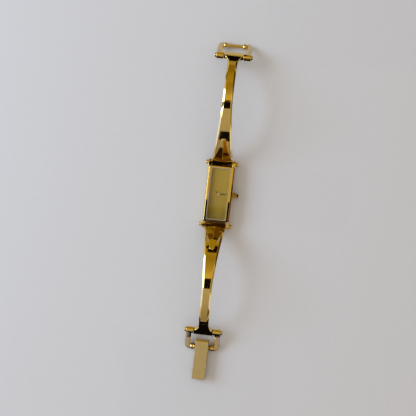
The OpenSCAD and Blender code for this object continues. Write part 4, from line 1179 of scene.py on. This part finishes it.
@dataclass
class Stirrup:
    """One stirrup: two eye barrels, two flat strips and a bar with round shoulders, hung on its pin."""

    name: str
    place: Place
    length: float = 8.4
    half_w: float = 7.8
    strip_w: float = 2.4
    strip_t: float = 1.3
    strip_end: float = 1.1
    strip_ease: float = 0.14
    corner_steps: int = 15
    chamfer_w: float = 0.45
    chamfer_drop: float = 0.35
    chamfer_ease: float = 0.04
    eye_r: float = 1.5
    eye_core: float = 0.3
    eye_in: float = 4.5
    eye_ease: tuple[float, ...] = (0, 0.2, 0.2, 0)
    bar_r: float = 0.7
    bar_steps: int = 40
    bead_r: float = 1.3
    bead_x: float = 4.45
    bead_turn: Span = (145.0, 5.7296)
    bead_steps: int = 26
    bar_reach: float = 5.8
    pin_r: float = 0.6
    pin_ease: tuple[float, ...] = (0.02, 0.08, 0.26, 0.02)
    head_r: float = 1.0
    head_l: float = 0.8
    head_gap: float = 0.02
    pole_r: float = 0.3

    def strip(self, side: int) -> Shell:
        """A flat strip whose outer far corner is a quarter circle as wide as the strip.

        Its faces are satin. Its edges are polished, and the inner ones carry a chamfer.

        Args:
            side: 1 or -1.

        Returns:
            The strip in local coordinates.
        """
        inner, far, width = self.half_w - self.strip_w, self.length + self.strip_end, self.strip_w
        corner = width * arc(0, QUARTER, self.corner_steps) + [inner, far - width]
        outline = np.concatenate([[[inner, 0], [self.half_w, 0]], corner])
        t, drop = self.strip_t / 2, self.chamfer_drop
        edge = eased_side([-t, drop - t, t - drop, t], self.strip_ease, self.chamfer_ease)
        grid = raised(outline, edge)
        grid[:, [0, -1], 0] += self.chamfer_w * share(np.abs(edge[:, 1, None]), t - drop, drop)
        flat = replace(grid_shell(grid), cap_finish=1)
        flat.points[:, 0] *= side
        return flat.outward()

    def eye(self, side: int) -> Shell:
        """An eye barrel, closed round its pin, with eased ends.

        Args:
            side: 1 or -1.

        Returns:
            The barrel in local coordinates.
        """
        core, r, near, far = self.eye_core, self.eye_r, self.eye_in, self.half_w
        profile = np.array([[core, near], [r, near], [r, far], [core, far]])
        line = softened(profile, self.eye_ease, FINE_STEPS, closed=False) * [1, side]
        return grid_shell(turned(line, TUBE_STEPS))

    def bar(self) -> Shell:
        """The bar, whose radius is the larger of its own and of the sphere at each shoulder.

        Its sections lie close together where a shoulder's sphere turns fastest.

        Returns:
            The bar in local coordinates.
        """
        bead = self.bead_x + self.bead_r * np.cos(np.linspace(*np.radians(self.bead_turn), self.bead_steps))
        bead = bead[bead < self.bar_reach]
        plain = np.linspace(-self.bar_reach, self.bar_reach, self.bar_steps)
        x = np.sort(np.concatenate([plain, bead, -bead]))
        radius = np.maximum(self.bar_r, circle_rise(self.bead_r, np.abs(x) - self.bead_x))
        return grid_shell(turned(np.stack([radius, x], axis=1)) + [0, self.length, 0])

    def pin(self) -> Shell:
        """The pin with its two heads, turned."""
        a, b, head = self.half_w + self.head_gap, self.half_w + self.head_gap + self.head_l, self.head_r
        return turned_pin([[self.pin_r, a], [head, a], [head, b], [self.pole_r, b]], self.pin_ease)

    def build(self) -> None:
        """Makes the stirrup and its pin."""
        name, body = f"{self.name}_stirrup", f"{self.name}_stirrup_group"
        local = [self.eye(1), self.eye(-1), self.bar(), self.strip(1), self.strip(-1)]
        loop = [self.place.shell(shell) for shell in local]
        make_piece(f"{name}_loop", loop, body, name, finishes=(GOLD_POLISHED, GOLD_SATIN))
        make_piece(f"{name}_axle", [self.place.shell(self.pin())], body, f"{name}_pin")


@dataclass
class Clasp:
    """The closed clasp on the lower stirrup's bar: its cover is new, its base and pin keep their forms."""

    place: Place
    half_w: float = 3.0
    wall: float = 0.6
    top: float = 2.6
    foot: float = -0.55
    length: float = 14.4
    pin_back: float = 2.2
    pin_up: float = 0.9
    roll_r: float = 1.7
    roll_turn: float = 88.0
    roll_steps: int = 26
    slot_in: float = 1.517
    slot_out: float = 3.237
    slot_steps: int = 14
    bar_pitch: float = 11.0
    slot_half: float = 1.02
    end_step: float = 0.3
    ease: float = 0.16
    section_ease: tuple[float, ...] = (0.05, 0.16, 0.16, 0.05, 0.04, 0.04, 0.04, 0.04)

    def stations(self) -> np.ndarray:
        """Length, top, foot, underside of the top and draw-in of the cover at each section.

        The roll's top and foot follow circles round the pin. A step in the foot or in the underside has two
        sections at the same length.

        Returns:
            One row for each section.
        """
        up, top, foot, level = self.pin_up, self.top, self.foot, self.top - self.wall
        rise, reach = arc(math.radians(self.roll_turn), 0, self.roll_steps).T * self.roll_r
        inner = self.roll_r - self.wall
        over = up - circle_rise(self.slot_in, reach)
        under = np.where(reach < inner, up + circle_rise(inner, reach), over)
        rolled = np.stack([-self.pin_back - reach, up + rise, over, under, 0 * reach], axis=1)
        disc = np.linspace(0, self.slot_in, self.slot_steps)[1:]
        disc_foot = up - circle_rise(self.slot_in, disc)
        same = np.ones_like(disc)
        ahead = np.stack([disc - self.pin_back, same * top, disc_foot, same * level, 0 * disc], axis=1)
        slot_end = self.slot_out - self.pin_back
        a, b = self.bar_pitch - self.slot_half, self.bar_pitch + self.slot_half
        inside, edge = self.length - self.wall, self.ease
        part = edge * self.end_step
        rest = [
            [slot_end, top, up, level, 0],
            [slot_end, top, foot, level, 0],
            [(slot_end + a) / 2, top, foot, level, 0],
            [a, top, foot, level, 0],
            [a, top, self.slot_half, level, 0],
            [b, top, self.slot_half, level, 0],
            [b, top, foot, level, 0],
            [inside, top, foot, level, 0],
            [inside, top, foot, foot, 0],
            [self.length - edge, top, foot, foot, 0],
            [self.length - part, top - part, foot, foot, part],
            [self.length, top - edge, foot, foot, edge],
        ]
        return np.concatenate([rolled, ahead, rest])

    def cover(self) -> Shell:
        """The cover: an upside-down channel section whose heights change along its length.

        Returns:
            The cover in the frame.
        """
        out, top, foot, under, drawn = self.stations().T
        w = self.half_w - drawn
        v = w - self.wall
        x = np.stack([-w, -w, w, w, v, v, -v, -v], axis=1)
        z = np.stack([foot, top, top, foot, foot, under, under, foot], axis=1)
        x, z = np.moveaxis(softened(np.stack([x, z], axis=-1), self.section_ease, FINE_STEPS), -1, 0)
        return grid_shell(self.place.put(np.stack([x, np.broadcast_to(out[:, None], x.shape), z], axis=-1)))

    def build(self, frame: dict) -> None:
        """Makes the cover and dresses the base and its pin.
        """
        gold = (GOLD_BRUSHED,)
        make_piece("clasp_lid", [self.cover()], "clasp_cover_group", "clasp_cover", gold)
        dress_nodes(frame, GOLD_BRUSHED, "clasp_base")
        dress_nodes(frame, GOLD_POLISHED, "clasp_pin")


# The studio


class Seen(Enum):
    """Which rays see a card: mirrored ones, those that meet its front, or those that left the crystal."""

    OUTSIDE = "outside"
    FRONT = "front"
    UNDER_GLASS = "under_glass"


@dataclass(frozen=True)
class Card:
    """A card that only reflections show: a strip between two edges, whose colour blends from step to step.

    Args:
        name: the card's name.
        left: points of its left edge in picture axes: right, up and above the table.
        right: points of its right edge.
        colours: linear red, green and blue at each step.
        seen: the rays that see it.
    """

    name: str
    left: list[Point]
    right: list[Point]
    colours: list[Colour]
    seen: Seen = Seen.OUTSIDE


Bands = list[tuple[float, Colour]]


def even(low: float, high: float, colour: Colour) -> Bands:
    """One colour from the height low to the height high."""
    return [(low, colour), (high, colour)]


def flag(name: str, across: Span, up: Span, height: float, colour: Colour) -> Card:
    """A card that lies level above the table, between two places across and two up the picture."""
    left, right = ([(x, y, height) for y in up] for x in across)
    return Card(name, left, right, [colour] * 2)


def screen(name: str, start: Span, end: Span, bands: Bands, seen: Seen = Seen.OUTSIDE) -> Card:
    """An upright card from start to end, its front on the right, with a colour at each height."""
    left, right = ([(*foot, height) for height, _ in bands] for foot in (start, end))
    return Card(name, left, right, [colour for _, colour in bands], seen)


def beside_case(card: Card, lean: float, seen: Seen = Seen.OUTSIDE) -> Card:
    """The picture-axes form of a card given in the case's own axes, which lean by so many degrees."""
    left, right = ([(*swung(x, y, -lean), z) for x, y, z in edge] for edge in (card.left, card.right))
    return replace(card, left=left, right=right, seen=seen)


def arch(name: str, side: int, bands: Bands, radius: float = 1500.0) -> Card:
    """A wide arch over the table, with a colour at each elevation in degrees.

    Args:
        name: the card's name.
        side: 1 for the upper end of the picture and -1 for the lower.
        bands: elevation and colour of each step.
        radius: the arch's radius.

    Returns:
        The card in picture axes.
    """
    rise = [swung(radius, 0, elevation) for elevation, _ in bands]
    left, right = ([(end, side * up, height) for up, height in rise] for end in (-radius, radius))
    return Card(name, left, right, [colour for _, colour in bands])


@dataclass
class Studio:
    """Floor, soft light, cards and camera. Picture axes are turned against the watch by its lean."""

    lean: float = 6.4
    eye: Point = (14.9, -10.0, 350.0)
    target: Point = (-5.1, -6.3, 0.0)
    field_of_view: float = 30.6
    sensor: float = 36.0
    clip: Span = (0.01, 10.0)
    floor_size: float = 1600.0
    sky: Colour = (0.72, 0.64, 0.54)
    window_colour: Colour = (0.60, 0.77, 1.0)
    window_place: Point = (-700.0, 175.0, 420.0)
    window_size: Span = (520.0, 420.0)
    window_power: float = 5.9

    def to_frame(self, point: Point) -> Vector:
        """The place in the frame, in metres, of a point in picture axes: right, up and above the table."""
        right, up, height = point
        return Vector((*swung(right, up, self.lean), height)) * MM

    def wide_cards(self) -> list[Card]:
        """The cards far round the watch, which the large curved faces show.

        Returns:
            The cards in picture axes.
        """
        brown, floor_gold = (0.03, 0.012, 0.004), (0.24, 0.165, 0.012)
        far = [
            (-2, floor_gold), (15, floor_gold), (26, (0.34, 0.25, 0.012)), (42, (0.37, 0.27, 0.03)),
            (51, (0.30, 0.21, 0.02)), (67, (0.42, 0.31, 0.05)), (78, (0.64, 0.49, 0.12)),
            (90, (0.60, 0.46, 0.12)),
        ]
        near = [
            (-2, (0.28, 0.24, 0.20)), (18, (0.33, 0.29, 0.24)), (44, (0.41, 0.38, 0.32)),
            (70, (0.45, 0.42, 0.34)), (90, (0.46, 0.42, 0.33)),
        ]
        amber = [
            (-5, (0.20, 0.10, 0.01)), (31, (0.145, 0.08, 0.005)), (62, (0.10, 0.045, 0.004)),
            (70, (0.03, 0.006, 0.004)), (98, (0.03, 0.006, 0.004)), (110, (0.18, 0.07, 0.003)),
            (200, (0.27, 0.12, 0.003)), (440, (0.36, 0.18, 0.008)),
        ]
        window = [(-5, (0.9, 1.0, 1.9)), (330, (1.0, 1.25, 2.8))]
        red = [(-5, (0.06, 0.018, 0.006)), (230, (0.10, 0.04, 0.008))]
        gold = [(-5, (0.30, 0.24, 0.14)), (400, (0.34, 0.27, 0.12))]
        return [
            arch("far_arch", 1, far),
            arch("near_arch", -1, near),
            screen("brown_screen", (-440, -420), (-115, -420), even(-5, 180, brown)),
            screen("amber_screen", (-45, -420), (300, -420), amber),
            screen("window_tail", (-760, 20), (-420, -300), window),
            screen("dark_screen", (430, 20), (270, 400), red),
            screen("gold_screen", (430, 20), (500, -250), gold),
            screen("pale_screen", (480, -270), (330, -420), even(-5, 260, (0.8, 0.9, 1.5))),
            flag("lower_strip", (-45, 25), (-265, -66), 1, (0.004, 0.003, 0.003)),
            flag("near_strip", (-40, 60), (118, 262), 1, (0.37, 0.29, 0.07)),
            flag("far_strip", (-400, 500), (262, 1450), 1, floor_gold),
            flag("right_floor_flag", (20, 100), (58, 112), 0.8, (0.07, 0.022, 0.006)),
        ]

    def close_cards(self) -> list[Card]:
        """The small cards near the watch, each for the reflection in one of its faces; some are painted
        shade, standing in for shadows and shaded gaps.

        Returns:
            The cards in picture axes.
        """
        khaki, gold, umber = (0.36, 0.33, 0.26), (0.36, 0.25, 0.015), (0.115, 0.055, 0.003)
        dark, brown = (0.004, 0.003, 0.003), (0.03, 0.012, 0.004)
        front, by_case = Seen.FRONT, partial(beside_case, lean=self.lean)
        under_glass = partial(by_case, seen=Seen.UNDER_GLASS)
        arm = [(20, khaki), (36, khaki), (38, gold), (49, gold)]
        right_root = [(20, umber), (32.5, umber), (33, dark), (38, dark)]
        return [
            screen("crown_flag", (11.5, 3.5), (11.5, -4.5), even(0.5, 9, dark)),
            by_case(flag("crown_roof", (6.3, 10.6), (-6, 6), 9.2, (0.26, 0.14, 0.03))),
            # Dark sheets over the gaps between the case's ends and the arms' roots, which the roots and hinge
            # barrels reflect: painted shade standing in for the shaded gaps.
            screen("upper_slot_wall", (-4.5, 13.35), (6, 13.35), even(3.8, 5.2, dark)),
            flag("upper_slot_roof", (-4.5, 6), (13.35, 15.4), 5.2, dark),
            screen("lower_slot_wall", (-8, -13.35), (3, -13.35), even(3.8, 4.6, brown)),
            flag("lower_slot_roof", (-8, 3), (-15.2, -13.35), 4.6, brown),
            screen("lower_lip", (1.5, -65.2), (-14.5, -65.2), even(0.5, 7.6, dark), front),
            screen("upper_lip", (2.5, 63.5), (13, 63.5), even(8, 10.4, dark), front),
            screen("left_barrel_screen", (3.2, 57.4), (-4, 57.4), even(2, 9, dark), front),
            screen("right_barrel_screen", (16.5, 57.4), (10.6, 57.4), even(2, 9, dark), front),
            screen("root_lip", (6, 12.9), (-5, 12.9), even(5.65, 7, umber), front),
            screen("arm_screen", (-3, 40), (7, 40), arm),
            screen("patch_screen", (-3.4, 3), (2.1, 3), even(26, 38.5, dark)),
            screen("root_screen", (-14, 40), (45, 40), even(8.2, 20, umber)),
            screen("left_root_screen", (-34, 40), (-3, 40), even(20, 33, umber)),
            screen("right_root_screen", (7, 40), (45, 40), right_root),
            flag("upper_flag", (-3.5, 7.5), (30.8, 42.2), 50, dark),
            flag("lower_flag", (-10.5, -2.5), (-47, -32.2), 50, dark),
            by_case(flag("left_rail_flag", (-5.8, -4.4), (-13, -3.2), 6.6, dark)),
            by_case(flag("right_rail_flag", (4.4, 5.8), (-13, -3.2), 6.6, dark)),
            by_case(flag("foot_rail_flag", (-5.7, 5.7), (-12.9, -11.7), 6.6, dark)),
            # A dim brown sheet on the table beside the case's flank, which the flank reflects: painted shade
            # standing in for the gold-tinted shadow on the floor there.
            by_case(flag("flank_flag", (9, 60), (-13, 14), 0.6, (0.16, 0.07, 0.02))),
            # Dark screens along the dial's left and lower rails, seen from the dial through the crystal:
            # painted shade standing in for the shadow that the bezel casts on the dial.
            under_glass(screen("dial_left", (-4.25, -11.5), (-4.25, 11.5), even(5.7, 12.5, brown))),
            under_glass(screen("dial_foot", (-4.25, -11.5), (4.25, -11.5), even(5.7, 9, brown))),
            under_glass(flag("dial_roof", (-14, 14), (-34, -6), 34, (0.12, 0.08, 0.02))),
        ]

    def add_card(self, card: Card) -> None:
        """Makes a card's mesh and hides it from all rays but glossy ones, or those that left the crystal.

        Args:
            card: the card.
        """
        count = len(card.colours)
        faces = [[k, k + count, k + count + 1, k + 1] for k in range(count - 1)]
        mesh = new_mesh(card.name, [tuple(self.to_frame(c)) for c in card.left + card.right], faces)
        tones = mesh.color_attributes.new("tone", "FLOAT_COLOR", "POINT")
        tones.data.foreach_set("color", [x for colour in card.colours * 2 for x in (*colour, 1)])
        made, tree, shader = node_material(card.name)
        made.cycles.emission_sampling = "NONE"
        tree.nodes.remove(shader)
        tone = wired(tree, "Attribute", "Color")
        tone.node.attribute_name = "tone"
        result = wired(tree, "Emission", "Emission", {"Color": tone})
        if card.seen is Seen.FRONT:
            behind = wired(tree, "NewGeometry", "Backfacing")
            through = wired(tree, "BsdfTransparent", "BSDF")
            result = wired(tree, "MixShader", "Shader", {"Fac": behind, 1: result, 2: through})
        feed(tree, tree.nodes["Material Output"], {"Surface": result})
        mesh.materials.append(made)
        sheet = put_in_scene(card.name, mesh)
        sheet.visible_camera = sheet.visible_diffuse = sheet.visible_shadow = False
        sheet.visible_volume_scatter = False
        sheet.visible_transmission = card.seen is Seen.UNDER_GLASS
        sheet.visible_glossy = card.seen is not Seen.UNDER_GLASS

    def add_floor(self) -> None:
        """The table: a pale sheet whose colour and roughness vary a little."""
        h = self.floor_size * MM / 2
        mesh = new_mesh("table", [(-h, -h, 0), (h, -h, 0), (h, h, 0), (-h, h, 0)], [[0, 1, 2, 3]])
        mesh.materials.append(TABLE_TOP.material())
        put_in_scene("table", mesh)

    def add_light(self) -> None:
        """An even warm sky and one large soft window on the left."""
        world = bpy.data.worlds.new("room")
        world.use_nodes = True
        world.node_tree.nodes["Background"].inputs["Color"].default_value = (*self.sky, 1)
        bpy.context.scene.world = world
        lamp = bpy.data.lights.new("window", "AREA")
        lamp.shape = "RECTANGLE"
        lamp.size, lamp.size_y = (s * MM for s in self.window_size)
        lamp.color = self.window_colour
        lamp.energy = self.window_power
        window = put_in_scene("window", lamp)
        window.location = self.to_frame(self.window_place)
        window.rotation_euler = (-window.location).to_track_quat("-Z", "Y").to_euler()

    def add_camera(self) -> None:
        """The camera above the watch, a little to the picture's right, looking down."""
        data = bpy.data.cameras.new("camera")
        data.sensor_width = self.sensor
        data.lens = self.sensor / 2 / math.tan(math.radians(self.field_of_view / 2))
        data.clip_start, data.clip_end = self.clip
        place, target = self.to_frame(self.eye), self.to_frame(self.target)
        back = (place - target).normalized()
        right = self.to_frame((0, 1, 0)).cross(back).normalized()
        turn = Matrix((right, back.cross(right), back)).transposed().to_4x4()
        camera = put_in_scene("camera", data)
        camera.matrix_world = Matrix.Translation(place) @ turn
        bpy.context.scene.camera = camera

    def build(self) -> None:
        """Makes the whole studio and sets the plain view transform."""
        bpy.context.scene.view_settings.view_transform = "Standard"
        self.add_floor()
        self.add_light()
        self.add_camera()
        cards = self.wide_cards() + self.close_cards()
        for card in cards:
            self.add_card(card)
        log.info("studio: floor, window, sky, camera and %d cards", len(cards))


def main() -> None:
    """Loads the frame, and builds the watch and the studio."""
    logging.basicConfig(level=logging.INFO, format="%(name)s: %(message)s")
    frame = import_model()
    Studio().build()
    Case().build(frame)
    HingePins().build()
    Crown().build(frame)
    Hands().build(frame)
    Movement().build(frame)
    Arm("upper", Place(HINGE_Y, HINGE_Z, slope=5.4, side=1)).build()
    Arm("lower", Place(HINGE_Y, HINGE_Z, slope=1.9, side=-1)).build()
    Stirrup("upper", Place(y=62.4626, z=7.1527, slope=-44.168, side=1)).build()
    Stirrup("lower", Place(y=62.6507, z=4.2040, slope=-20.225, side=-1)).build()
    Clasp(Place(y=70.533, z=1.3, slope=0, side=-1)).build(frame)


if __name__ == "__main__":
    main()
